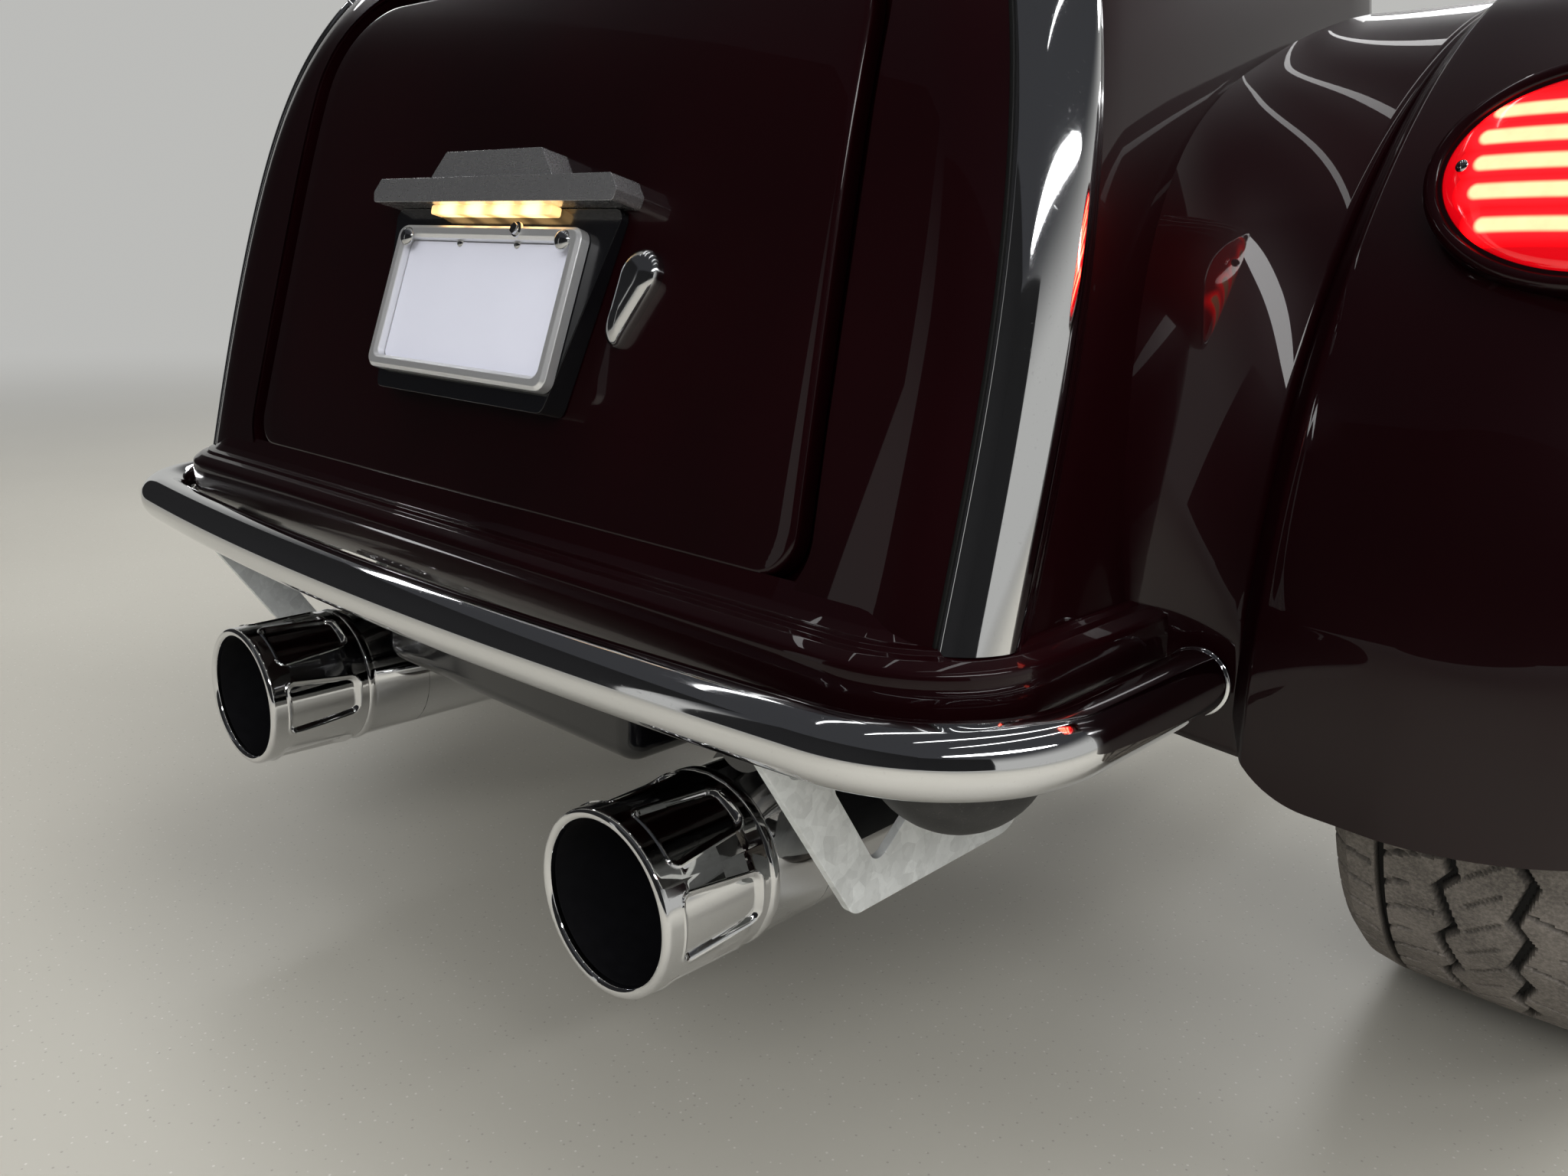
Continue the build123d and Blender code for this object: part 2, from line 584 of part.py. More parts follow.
def door_hinge_arms():
    """Two gooseneck arms that reach from the pins, round the edge of the opening, to the door."""
    door_side = -(HINGE_DEPTH - DOOR_THICKNESS)
    arms = []
    for along in HINGE_HEIGHTS:
        plane = Plane(origin=hinge_point(along - HINGE_WIDTH / 2), x_dir=(1, 0, 0),
                      z_dir=Vector(*hinge_point(1)) - Vector(*hinge_point(0)))
        half = ARM_BAR / 2
        outer = FilletPolyline((-half, 0), (-half, ARM_DEEP + half), (ARM_REACH + half, ARM_DEEP + half),
                               (ARM_REACH + half, door_side), radius=(26, 26))
        inner = FilletPolyline((ARM_REACH - half, door_side), (ARM_REACH - half, ARM_DEEP - half),
                               (half, ARM_DEEP - half),
                               (half, 0), radius=(16, 16))
        closing = [Line(outer @ 1, inner @ 0), Line(inner @ 1, outer @ 0)]
        bar = extrude(plane * make_face(outer + inner + closing), HINGE_WIDTH)
        pad = plane * Pos(ARM_REACH + 14, door_side + 4, HINGE_WIDTH / 2) * Box(46, 8, HINGE_WIDTH)
        knuckle = plane * Pos(0, 0, HINGE_WIDTH / 2) * Cylinder(KNUCKLE_RADIUS, HINGE_WIDTH)
        hole = plane * Pos(0, 0, HINGE_WIDTH / 2) * Cylinder(PIN_RADIUS + RUNNING_FIT, HINGE_WIDTH + 4)
        arm = (bar + knuckle + pad) - hole
        arms.append(arm - door_slab())
    return Compound(children=arms)


def door_slab():
    """The door's slab and a little air behind it, cut away from what is screwed to the door."""
    return trunk_walls(-20) - trunk_walls(DOOR_THICKNESS + SEAT)


def door_hinge_brackets():
    """Two clevises with their pins, on the inside of the trunk's left corner."""
    inside = trunk_room(TRUNK_WALL + SEAT)
    brackets = []
    for along in HINGE_HEIGHTS:
        plane = Plane(origin=hinge_point(along), x_dir=(1, 0, 0),
                      z_dir=Vector(*hinge_point(1)) - Vector(*hinge_point(0)))
        wide = HINGE_WIDTH + 2 * EAR_GAP + 2 * EAR_THICKNESS
        bracket = plane * Pos(-40, 0, 0) * Box(26, 2 * EAR_RADIUS, wide)
        bracket += plane * Cylinder(PIN_RADIUS, wide + 6)
        for side in (1, -1):
            level = side * (HINGE_WIDTH / 2 + EAR_GAP + EAR_THICKNESS / 2)
            bracket += plane * Pos(0, 0, level) * Cylinder(EAR_RADIUS, EAR_THICKNESS)
            bracket += plane * Pos(-40, 0, level) * Box(80, 2 * EAR_RADIUS, EAR_THICKNESS)
        brackets.append(bracket & inside)
    return Compound(children=brackets)


def on_face(along, shape, x=0.0, depth=0.0):
    """Put a shape on the leaning face: X across, Y up the face, Z out of it."""
    return face_plane(along, depth, x).location * shape


def plate_plane(out=0.0):
    """Plane of the plate frame's front, or one so far in front of it; it leans more than the door."""
    base = face_plane(PLATE_UP, depth=-PLATE_OUT)
    turn = Rot(-(PLATE_LEAN - FACE_LEAN), 0, 0)
    return Plane(base.location * turn * Location((0, 0, out)))


def rounded_slab(width, height, depth, corner):
    """Slab with rounded corners, its back at Z 0."""
    return extrude(RectangleRounded(width, height, corner), depth)


def face_slab(rows, depth, corner, grow=0.0):
    """Slab that stands on the door's face; rows give the height up the face and the half width there."""
    low = (rows[0][0] - grow, rows[0][1] + grow)
    high = (rows[-1][0] + grow, rows[-1][1] + grow)
    inner = [(up, half + grow) for up, half in rows[1:-1]]
    right = [(half, up) for up, half in (low, *inner, high)]
    left = [(-x, up) for x, up in reversed(right)]
    line = FilletPolyline(*right, *left, close=True, radius=corner)
    sunk = 30.0
    return on_face(0, extrude(make_face(line), sunk + depth + grow), depth=sunk)


def plate_housing():
    """Black wedge behind the plate frame."""
    body = face_slab(HOUSING_OUTLINE, 60, HOUSING_CORNER)
    cut = plate_plane(-PLATE_FRAME_DEPTH).location * extrude(Rectangle(600, 600), 200)
    return (body - cut) - trunk_walls(-SEAT)


def plate_frame():
    """Frame round the number plate, with a bevelled front."""
    wide = 2 * PLATE_HALF_WIDTH
    high = 2 * PLATE_HALF_HEIGHT
    border = 2 * PLATE_FRAME
    depth = PLATE_FRAME_DEPTH - SEAT
    ring = rounded_slab(wide, high, depth, 9)
    ring -= Pos(0, 0, -1) * rounded_slab(wide - border, high - border, depth + 2, 5)
    front = ring.faces().sort_by(Axis.Z)[-1]
    ring = chamfer(front.edges(), 2.5)
    return plate_plane(-depth).location * ring


def licence_plate():
    size = 2 * (PLATE_FRAME + SEAT)
    slab = rounded_slab(2 * PLATE_HALF_WIDTH - size, 2 * PLATE_HALF_HEIGHT - size, PLATE_THICKNESS, 5)
    return plate_plane(-PLATE_FRAME_DEPTH + SEAT).location * slab


def plate_visor():
    """Stepped hood over the number plate."""
    body = face_slab(HOOD_BAND, HOOD_DEPTH, HOOD_CORNER) + face_slab(HOOD_TOP, HOOD_TOP_DEPTH, HOOD_CORNER)
    return body - trunk_walls(-SEAT)


def plate_lamp():
    """Lit strip under the hood."""
    low, high = STRIP_UP
    near, far = STRIP_DEPTH
    strip = rounded_slab(2 * STRIP_HALF_WIDTH, high - low, far - near, 2)
    return on_face((low + high) / 2, strip, depth=-near)


def door_handle():
    """Teardrop latch handle, wide end up."""
    ends = [Pos(x, up) * Circle(radius) for x, up, radius in (HANDLE_WIDE, HANDLE_NARROW)]
    outline = make_hull(ends[0].edges() + ends[1].edges())
    sunk = 30.0
    body = extrude(outline, sunk + HANDLE_DEPTH)
    front = body.faces().sort_by(Axis.Z)[-1]
    body = fillet(front.edges(), HANDLE_EDGE)
    return on_face(0, body, depth=sunk) - trunk_walls(-SEAT)


# Fenders and lamps

def fender_section(shrink, floor):
    """Outline of the fender across the wheel, as X against radius,
    moved in by a shrink and closed at a floor."""
    inner = FENDER_INNER_X + shrink
    outer = FENDER_OUTER_X - shrink
    crease = FENDER_CREASE_RADIUS - shrink
    soft = (FENDER_SOFT_X, crease + FENDER_CROWN)
    top = Polyline((inner, floor), (inner, crease - FENDER_CREASE), (inner + FENDER_CREASE, crease), soft)
    middle = (outer - 32 + shrink * 0.3, FENDER_CREASE_RADIUS - 42 - shrink * 0.7)
    shoulder = ThreePointArc(soft, middle, (outer, FENDER_EDGE_RADIUS))
    rest = Polyline((outer, FENDER_EDGE_RADIUS), (outer, floor), (inner, floor))
    return make_face(top + shoulder + rest)


def turned_section(face):
    """Turn a section over the wheel, from its rear end to its front end."""
    section = Plane(origin=(0, AXLE_Y, AXLE_Z), x_dir=(1, 0, 0), z_dir=(0, -1, 0)) * face
    return revolve(section.rotate(AXLE_LINE, -(90.0 + FENDER_BELOW)), AXLE_LINE, 180.0 + 2 * FENDER_BELOW)


def fender():
    """Right fender: a shell turned about the axle line, with a crease on its inner edge."""
    inner = FENDER_INNER_X
    outer = FENDER_OUTER_X
    wall = FENDER_WALL
    skin = fender_section(0, FENDER_BRIDGE_RADIUS) - fender_section(wall, FENDER_BRIDGE_RADIUS - 20)
    skin -= Pos(outer, FENDER_EDGE_RADIUS - 60) * Rectangle(60, 120)
    body = turned_section(skin)
    bridge = turned([(380, FENDER_BRIDGE_RADIUS), (inner + 2, FENDER_BRIDGE_RADIUS),
                     (inner + 2, FENDER_BRIDGE_RADIUS + wall),
                     (380, FENDER_BRIDGE_RADIUS + wall)], arc=70, start=25)
    return body + (bridge - trunk_walls(-SEAT))


def lamp_plane(out=0.0):
    """Plane across the front of the lamp's pocket, or one so far in front of it."""
    tilt = math.radians(LAMP_TILT)
    normal = Vector(0, -math.cos(tilt), math.sin(tilt))
    reach = FENDER_CREASE_RADIUS + LAMP_PROUD
    angle = math.radians(LAMP_ANGLE)
    middle = Vector(LAMP_X, AXLE_Y - reach * math.cos(angle), AXLE_Z + reach * math.sin(angle))
    return Plane(origin=middle + normal * out, x_dir=(1, 0, 0), z_dir=normal)


def fender_form(grow):
    """Closed form of the right fender's outside, for seating what stands on it."""
    return turned_section(fender_section(-grow, 150))


def tail_lamp_housing():
    outer = extrude(Ellipse(LAMP_HALF_WIDTH + LAMP_RIM, LAMP_HALF_HEIGHT + LAMP_RIM), LAMP_DEPTH)
    pocket = extrude(Ellipse(LAMP_HALF_WIDTH, LAMP_HALF_HEIGHT), 2 * LAMP_SUNK)
    body = lamp_plane(-LAMP_DEPTH).location * outer - lamp_plane(-LAMP_SUNK).location * pocket
    return body - fender_form(SEAT)


def tail_lamp_lens():
    oval = Ellipse(LAMP_HALF_WIDTH - SEAT, LAMP_HALF_HEIGHT - SEAT)
    sunk = LAMP_SUNK - SEAT
    body = lamp_plane(-sunk).location * extrude(oval, sunk + LENS_DOME)
    front = body.faces().sort_by(Axis(lamp_plane().origin, lamp_plane().z_dir))[-1]
    body = fillet(front.edges(), LENS_DOME - 1)
    return body - fender_form(SEAT)


# Bumper and brackets

def bumper_path():
    """Bowed run across the rear, a corner at each end and a straight return."""
    half_run = BUMPER_HALF_WIDTH - BUMPER_CORNER
    radius = (half_run ** 2 + BUMPER_BOW ** 2) / (2 * BUMPER_BOW)
    turn = math.asin(half_run / radius)
    end = (half_run, ahead(BUMPER_BOW))
    centre = (half_run - BUMPER_CORNER * math.sin(turn), ahead(BUMPER_BOW) + BUMPER_CORNER * math.cos(turn))
    middle = (turn + math.pi / 2) / 2
    knee = (centre[0] + BUMPER_CORNER * math.sin(middle), centre[1] - BUMPER_CORNER * math.cos(middle))
    side = centre[0] + BUMPER_CORNER
    level = BUMPER_Z
    pieces = [ThreePointArc((-end[0], end[1], level), (0, BUMPER_Y, level), (end[0], end[1], level))]
    for hand in (1, -1):
        pieces.append(ThreePointArc((hand * end[0], end[1], level), (hand * knee[0], knee[1], level),
                                    (hand * side, centre[1], level)))
        pieces.append(Line((hand * side, centre[1], level),
                           (hand * side, centre[1] + BUMPER_RETURN, level)))
    return Wire(pieces), side, centre[1] + BUMPER_RETURN


def bumper():
    path, side, end = bumper_path()
    start = Plane(origin=path @ 0, z_dir=path % 0)
    body = sweep(start * Circle(BUMPER_RADIUS), path=path)
    for hand in (1, -1):
        body += rod(BUMPER_RADIUS + BUMPER_CAP_LIP, (hand * side, end - 0.5, BUMPER_Z),
                    (hand * side, end + BUMPER_CAP, BUMPER_Z))
    return body


def bumper_bracket():
    """Right plate that hangs the bumper from the rail, with its three-cornered window."""
    outline = FilletPolyline((ahead(14), over(-6)), (ahead(70), over(-28)), (ahead(330), over(-28)),
                             (ahead(290), over(-150)),
                             (ahead(114), over(-150)), close=True,
                             radius=(3, 3, BRACKET_CORNER, BRACKET_CORNER * 2, BRACKET_CORNER))
    window = FilletPolyline((ahead(84), over(-52)), (ahead(134), over(-124)), (ahead(212), over(-60)),
                            close=True,
                            radius=(8, 10, 8))
    plate = make_face(outline) - make_face(window)
    inner = RAIL_X + RAIL_RADIUS + SEAT
    body = extrude(Plane(origin=(inner, 0, 0), x_dir=(0, 1, 0), z_dir=(1, 0, 0)) * plate, BRACKET_THICKNESS)
    path = bumper_path()[0]
    start = Plane(origin=path @ 0, z_dir=path % 0)
    return body - sweep(start * Circle(BUMPER_RADIUS + SEAT), path=path)


def corner_pods():
    """Black domed cups under the body's rear corners."""
    top = over(TRUNK_BOTTOM)
    pods = []
    for hand in (1, -1):
        spot = (hand * POD_X, ahead(POD_AHEAD))
        cup = rod(POD_RADIUS, (*spot, top - POD_NECK), (*spot, top))
        dome = Sphere(POD_RADIUS, arc_size2=0, align=(Align.CENTER, Align.CENTER, Align.MAX))
        pods.append(cup + Pos(*spot, top - POD_NECK) * dome)
    return Compound(children=pods)


# Exhausts

def about_muffler(points):
    """Solid turned about the right muffler's centre line from (distance ahead of the bumper, radius)."""
    line = Axis((MUFFLER_X, 0, over(MUFFLER_HEIGHT)), (0, 1, 0))
    outline = Polyline(*[(MUFFLER_X + radius, ahead(distance), over(MUFFLER_HEIGHT)) for distance,
                         radius in points],
                       close=True)
    return revolve(make_face(outline), line, 360)


def muffler():
    """Right muffler with its pipe forward to the front half of the vehicle."""
    front = MUFFLER_FRONT
    return about_muffler([
        (TIP_FRONT + SEAT, 0), (TIP_FRONT + SEAT, MUFFLER_RADIUS), (front - 60, MUFFLER_RADIUS),
        (front, PIPE_RADIUS + 12),
        (front + 24, PIPE_RADIUS), (PIPE_FRONT, PIPE_RADIUS), (PIPE_FRONT, PIPE_RADIUS - PIPE_WALL),
        (PIPE_FRONT - 80, PIPE_RADIUS - PIPE_WALL), (PIPE_FRONT - 80, 0)])


def muffler_tip():
    """Right tip: rolled rim, sunk windows between ribs, and a seam ring."""
    rim = TIP_RADIUS
    body = about_muffler([
        (TIP_REAR + 3, TIP_BORE), (TIP_REAR, TIP_BORE + 2.5), (TIP_REAR, rim - 2.5), (TIP_REAR + 2.5, rim),
        (TIP_SEAM - 3, rim), (TIP_SEAM - 2, rim - 1.5), (TIP_SEAM, rim - 1.5), (TIP_SEAM + 1, rim),
        (TIP_SEAM + 8, rim), (TIP_SEAM + 9, MUFFLER_RADIUS), (TIP_FRONT, MUFFLER_RADIUS), (TIP_FRONT, 0),
        (TIP_BORE_DEPTH - 4, 0), (TIP_BORE_DEPTH - 4, TIP_BORE)])
    core = rod(rim - TIP_SUNK, (MUFFLER_X, ahead(0), over(MUFFLER_HEIGHT)),
               (MUFFLER_X, ahead(200), over(MUFFLER_HEIGHT)))
    near = TIP_REAR + 17
    far = TIP_SEAM - 12
    outline = FilletPolyline((-21, near), (21, near), (15, far), (-15, far), close=True, radius=6)
    plane = Plane(origin=(MUFFLER_X, ahead(0), over(MUFFLER_HEIGHT)), x_dir=(1, 0, 0), z_dir=(0, 0, 1))
    cutter = extrude(plane * make_face(outline), 90) - core
    line = Axis((MUFFLER_X, 0, over(MUFFLER_HEIGHT)), (0, 1, 0))
    for window in range(TIP_WINDOWS):
        body -= cutter.rotate(line, 30 + 360.0 * window / TIP_WINDOWS)
    return body


def exhaust_hangers():
    """Black straps over the mufflers, hung from the trunk's floor."""
    hangers = []
    level = over(MUFFLER_HEIGHT)
    for x in (MUFFLER_X, -MUFFLER_X):
        strap = rod(MUFFLER_RADIUS + STRAP, (x, ahead(STRAP_REAR), level),
                    (x, ahead(STRAP_REAR + STRAP_WIDTH), level))
        strap &= block((x - 90, x + 90), (ahead(STRAP_REAR), ahead(STRAP_REAR + STRAP_WIDTH)),
                       (level + 10, over(0)))
        strap += block((x - 14, x + 14), (ahead(STRAP_REAR + 10), ahead(STRAP_REAR + STRAP_WIDTH - 10)),
                       (level + MUFFLER_RADIUS, over(TRUNK_BOTTOM)))
        strap -= rod(MUFFLER_RADIUS + SEAT, (x, ahead(0), level), (x, ahead(MUFFLER_FRONT), level))
        hangers.append(strap)
    return Compound(children=hangers)


def both_sides(name, shape):
    return {name + "_right": shape, name + "_left": left_of(shape)}


def build():
    nodes = {
        "trunk_shell": trunk_shell(),
        "trunk_tub": trunk_tub(),
        "bumper": bumper(),
        "corner_pods": corner_pods(),
        "exhaust_hangers": exhaust_hangers(),
        "frame_cross_tube": frame_cross_tube(),
        "swingarm": swingarm(),
        "axle_housing": axle_housing(),
        "door_hinge_brackets": door_hinge_brackets(),
        "trunk_door": trunk_door(),
        "door_hinge_arms": door_hinge_arms(),
        "door_handle": door_handle(),
        "plate_housing": plate_housing(),
        "plate_visor": plate_visor(),
        "plate_lamp": plate_lamp(),
        "plate_frame": plate_frame(),
        "licence_plate": licence_plate(),
        "drive_pulley": drive_pulley(),
    }
    sided = {
        "corner_trim": corner_trim, "fender": fender, "tail_lamp_housing": tail_lamp_housing,
        "tail_lamp_lens": tail_lamp_lens, "bumper_bracket": bumper_bracket, "muffler": muffler,
        "muffler_tip": muffler_tip, "frame_rail": frame_rail, "frame_stay": frame_stay, "wheel": wheel,
        "tyre": tyre, "hub": hub_and_disc, "shock_absorber": shock_absorber, "brake_caliper": brake_caliper,
    }
    for name, make in sided.items():
        nodes.update(both_sides(name, make()))
    return nodes


os.makedirs("parts", exist_ok=True)
for name, shape in build().items():
    export_step(shape, f"parts/{name}.step")
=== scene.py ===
"""Looks of a motor trike's rear end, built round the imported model.

Metres, in the model's own frame: +Y to the front of the vehicle, +X to its right and +Z up, with the
origin at the centre of the swingarm pivot. Each sub-assembly is a class with its sizes as fields, in
millimetres, and methods that build and dress its pieces; each finish is a frozen dataclass that makes one
material.
"""
import json
import logging
import math
from dataclasses import dataclass
from enum import Enum
from functools import cached_property, lru_cache
from typing import Any, Callable, Iterable, NamedTuple, Optional, Sequence, Union

import bmesh
import bpy
from mathutils import Matrix, Vector


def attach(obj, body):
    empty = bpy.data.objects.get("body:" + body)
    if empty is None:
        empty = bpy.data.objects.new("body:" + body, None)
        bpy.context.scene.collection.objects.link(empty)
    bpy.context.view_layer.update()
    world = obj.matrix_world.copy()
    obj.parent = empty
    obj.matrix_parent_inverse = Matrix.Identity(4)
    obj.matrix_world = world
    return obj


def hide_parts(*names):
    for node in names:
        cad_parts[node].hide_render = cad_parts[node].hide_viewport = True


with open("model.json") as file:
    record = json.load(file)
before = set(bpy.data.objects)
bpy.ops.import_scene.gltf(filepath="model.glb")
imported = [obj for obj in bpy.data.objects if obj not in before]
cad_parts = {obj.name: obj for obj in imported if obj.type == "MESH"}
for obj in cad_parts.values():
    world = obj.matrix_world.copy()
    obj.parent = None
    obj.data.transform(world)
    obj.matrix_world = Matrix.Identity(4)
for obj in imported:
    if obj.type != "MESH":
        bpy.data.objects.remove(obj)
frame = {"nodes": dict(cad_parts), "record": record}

LOG = logging.getLogger("rear_end")
Number = Union[int, float]
Colour = tuple[float, float, float]


class Body(Enum):
    """Bodies of the model that pieces ride on."""

    REAR = "rear_body"
    DOOR = "trunk_door"
    WHEEL_LEFT = "wheel_left"
    WHEEL_RIGHT = "wheel_right"
    PULLEY = "drive_pulley"


class Slot(Enum):
    """Material slots of the record."""

    PAINT = "body_paint"
    FRAME = "black_frame"
    PLASTIC = "black_plastic"
    CHROME = "chrome"
    ZINC = "zinc"
    STEEL = "steel"
    CASE = "cast_case"
    LENS = "lens_red"
    AMBER = "lamp_amber"
    PLATE = "plate_blank"
    TYRE = "tyre"


class Side(Enum):
    """Sides of the vehicle, with the sign of their X."""

    RIGHT = 1
    LEFT = -1

    @property
    def word(self) -> str:
        """The side's name as nodes carry it."""
        return self.name.lower()

    @property
    def wheel(self) -> Body:
        """The wheel on this side."""
        return Body("wheel_" + self.word)


class Level:
    """A shader number that adds Math nodes when it is used in an expression."""

    def __init__(self, graph: "Graph", socket: bpy.types.NodeSocket) -> None:
        """Wrap one output socket of a graph."""
        self.graph = graph
        self.socket = socket

    def _math(self, operation: str, *values: Union["Level", Number]) -> "Level":
        """Add one Math node over this and other values.

        Args:
            operation: The Math node's operation.
            values: All the inputs in order.

        Returns:
            The node's result.
        """
        node = self.graph.node("ShaderNodeMath", {"operation": operation}, dict(enumerate(values)))
        return Level(self.graph, node.outputs[0])

    def __add__(self, other: Union["Level", Number]) -> "Level":
        """Sum."""
        return self._math("ADD", self, other)

    def __sub__(self, other: Union["Level", Number]) -> "Level":
        """Difference."""
        return self._math("SUBTRACT", self, other)

    def __rsub__(self, other: Number) -> "Level":
        """Difference from a number."""
        return self._math("SUBTRACT", other, self)

    def __mul__(self, other: Union["Level", Number]) -> "Level":
        """Product."""
        return self._math("MULTIPLY", self, other)

    def __pow__(self, other: Union["Level", Number]) -> "Level":
        """Power."""
        return self._math("POWER", self, other)

    __radd__ = __add__
    __rmul__ = __mul__

    def most(self, other: Union["Level", Number]) -> "Level":
        """The larger of two values."""
        return self._math("MAXIMUM", self, other)

    def size(self) -> "Level":
        """The value without its sign."""
        return self._math("ABSOLUTE", self)

    def sine(self) -> "Level":
        """Sine of the value."""
        return self._math("SINE", self)

    def ramp(self, low: Number, high: Number) -> "Level":
        """0 at low, 1 at high, smooth between.

        Args:
            low: Value that gives 0.
            high: Value that gives 1.

        Returns:
            The smoothed share.
        """
        node = self.graph.node("ShaderNodeMapRange", {"interpolation_type": "SMOOTHSTEP"},
                               {"Value": self, "From Min": low, "From Max": high})
        return Level(self.graph, node.outputs["Result"])


class Graph:
    """A node tree and a few ways to add nodes to it."""

    def __init__(self, owner: Union[bpy.types.Material, bpy.types.World]) -> None:
        """Start with an empty tree.

        Args:
            owner: The material or world that the tree belongs to.
        """
        owner.use_nodes = True
        self.tree = owner.node_tree
        self.tree.nodes.clear()

    def node(self, kind: str, settings: dict[str, Any], sockets: dict[Any, Any]) -> bpy.types.Node:
        """Add one node.

        Args:
            kind: The node's type.
            settings: Its own settings; "stops" gives an eased ramp its places and colours.
            sockets: Input name or number to a value, a socket or a Level.

        Returns:
            The new node.
        """
        made = self.tree.nodes.new(kind)
        for key, value in settings.items():
            if key == "stops":
                made.color_ramp.interpolation = "EASE"
                for element, (place, colour) in zip(made.color_ramp.elements, value):
                    element.position = place
                    element.color = (*colour, 1.0)
            else:
                setattr(made, key, value)
        for key, value in sockets.items():
            self.plug(made.inputs[key], value)
        return made

    def plug(self, target: bpy.types.NodeSocket, value: Any) -> None:
        """Give one input a value or a link.

        Args:
            target: The input socket.
            value: A number, colour, output socket or Level.
        """
        if isinstance(value, Level):
            value = value.socket
        if isinstance(value, bpy.types.NodeSocket):
            self.tree.links.new(value, target)
        elif isinstance(value, (tuple, list)) and len(value) == 3 and target.type == "RGBA":
            target.default_value = (*value, 1.0)
        else:
            target.default_value = value

    def axes(self, vector: bpy.types.NodeSocket) -> tuple[Level, Level, Level]:
        """The three parts of a vector."""
        node = self.node("ShaderNodeSeparateXYZ", {}, {0: vector})
        return tuple(Level(self, socket) for socket in node.outputs)

    def blend(self, share: Any, first: Any, second: Any) -> bpy.types.NodeSocket:
        """Mix two colours.

        Args:
            share: How much of the second: a number, socket or Level.
            first: Colour or socket at 0.
            second: Colour or socket at 1.

        Returns:
            The mixed colour.
        """
        node = self.node("ShaderNodeMix", {"data_type": "RGBA"}, {0: share, 6: first, 7: second})
        return node.outputs[2]


class MaterialGraph(Graph):
    """A material's tree, with its shader and its patterns on Object coordinates."""

    def __init__(self, name: str) -> None:
        """Start a material with a shader and an output.

        Args:
            name: The material's name.
        """
        self.material = bpy.data.materials.new(name)
        super().__init__(self.material)
        self.shader = self.node("ShaderNodeBsdfPrincipled", {}, {})
        self.output = self.node("ShaderNodeOutputMaterial", {}, {"Surface": self.shader.outputs[0]})

    def set(self, **sockets: Any) -> None:
        """Set the shader's inputs; an underscore stands for a blank.

        Args:
            sockets: Input name to a value, socket or Level.
        """
        for key, value in sockets.items():
            self.plug(self.shader.inputs[key.replace("_", " ")], value)

    @cached_property
    def place(self) -> bpy.types.NodeSocket:
        """Object coordinates."""
        return self.node("ShaderNodeTexCoord", {}, {}).outputs["Object"]

    def stretched(self, scale: Sequence[float]) -> bpy.types.NodeSocket:
        """Object coordinates scaled along the three axes.

        Args:
            scale: Scale along X, Y and Z.

        Returns:
            The coordinates.
        """
        node = self.node("ShaderNodeMapping", {"vector_type": "TEXTURE"},
                         {"Vector": self.place, "Scale": scale})
        return node.outputs[0]

    def noise(self, scale: float, detail: float = 3.0, rough: float = 0.5,
              vector: Optional[bpy.types.NodeSocket] = None) -> Level:
        """Noise from 0 to 1.

        Args:
            scale: Features to a metre.
            detail: Octaves.
            rough: Weight of the finer octaves.
            vector: Coordinates other than the Object ones.

        Returns:
            The noise value.
        """
        node = self.node("ShaderNodeTexNoise", {}, {"Vector": vector or self.place, "Scale": scale,
                                                    "Detail": detail, "Roughness": rough})
        return Level(self, node.outputs["Fac"])

    def spots(self, scale: float) -> Level:
        """Distance from the nearest of so many points to a metre."""
        node = self.node("ShaderNodeTexVoronoi", {}, {"Vector": self.place, "Scale": scale})
        return Level(self, node.outputs["Distance"])

    def patches(self, scale: float) -> tuple[Level, Level, Level]:
        """Three random tones of each cell, so many cells to a metre."""
        node = self.node("ShaderNodeTexVoronoi", {}, {"Vector": self.place, "Scale": scale})
        return self.axes(node.outputs["Color"])

    def over(self, share: Level, shader: bpy.types.NodeSocket) -> None:
        """Lay so much of another shader over the main one."""
        mix = self.node("ShaderNodeMixShader", {}, {0: share, 1: self.shader.outputs[0], 2: shader})
        self.plug(self.output.inputs["Surface"], mix.outputs[0])

    def bump(self, height: Level, distance: float, strength: float = 1.0) -> None:
        """Put a bump on the shader's normal.

        Args:
            height: Height from 0 to 1.
            distance: What height 1 stands for, in metres.
            strength: Strength of the bump.
        """
        node = self.node("ShaderNodeBump", {}, {"Height": height, "Distance": distance, "Strength": strength})
        self.set(Normal=node.outputs[0])


MM = 0.001
TOUCHING = 2e-6
SEAM = 4e-6
BUMPER_BACK = -1190.0
BUMPER_LEVEL = -25.0
AXLE_BACK = -500.0
AXLE_LEVEL = -22.0
WHEEL_X = 605.0
Point = tuple[float, float, float]
Pair = tuple[float, float]
Station = tuple[Vector, Vector]
Mesh = bmesh.types.BMesh


def spaced(low: float, high: float, steps: int) -> list[float]:
    """Even values from one end to the other, both included."""
    return [low + (high - low) * step / steps for step in range(steps + 1)]


def eased(low: float, high: float, steps: int) -> list[float]:
    """Values that crowd at both ends, for rounded ends."""
    return [low + (high - low) * (1 - math.cos(math.pi * step / steps)) / 2 for step in range(steps + 1)]


def mirrored(half: Sequence[float]) -> list[float]:
    """Values from the last one's negative through the first to the last."""
    return [-value for value in reversed(half[1:])] + list(half)


def meeting(below: Callable[[float], bool], steps: int = 30) -> float:
    """Where a rising measure between 0 and 1 reaches its aim.

    Args:
        below: Says whether a value is short of the aim.
        steps: How often the range is halved.

    Returns:
        The value.
    """
    low, high = 0.0, 1.0
    for _ in range(steps):
        middle = (low + high) / 2
        if below(middle):
            low = middle
        else:
            high = middle
    return (low + high) / 2


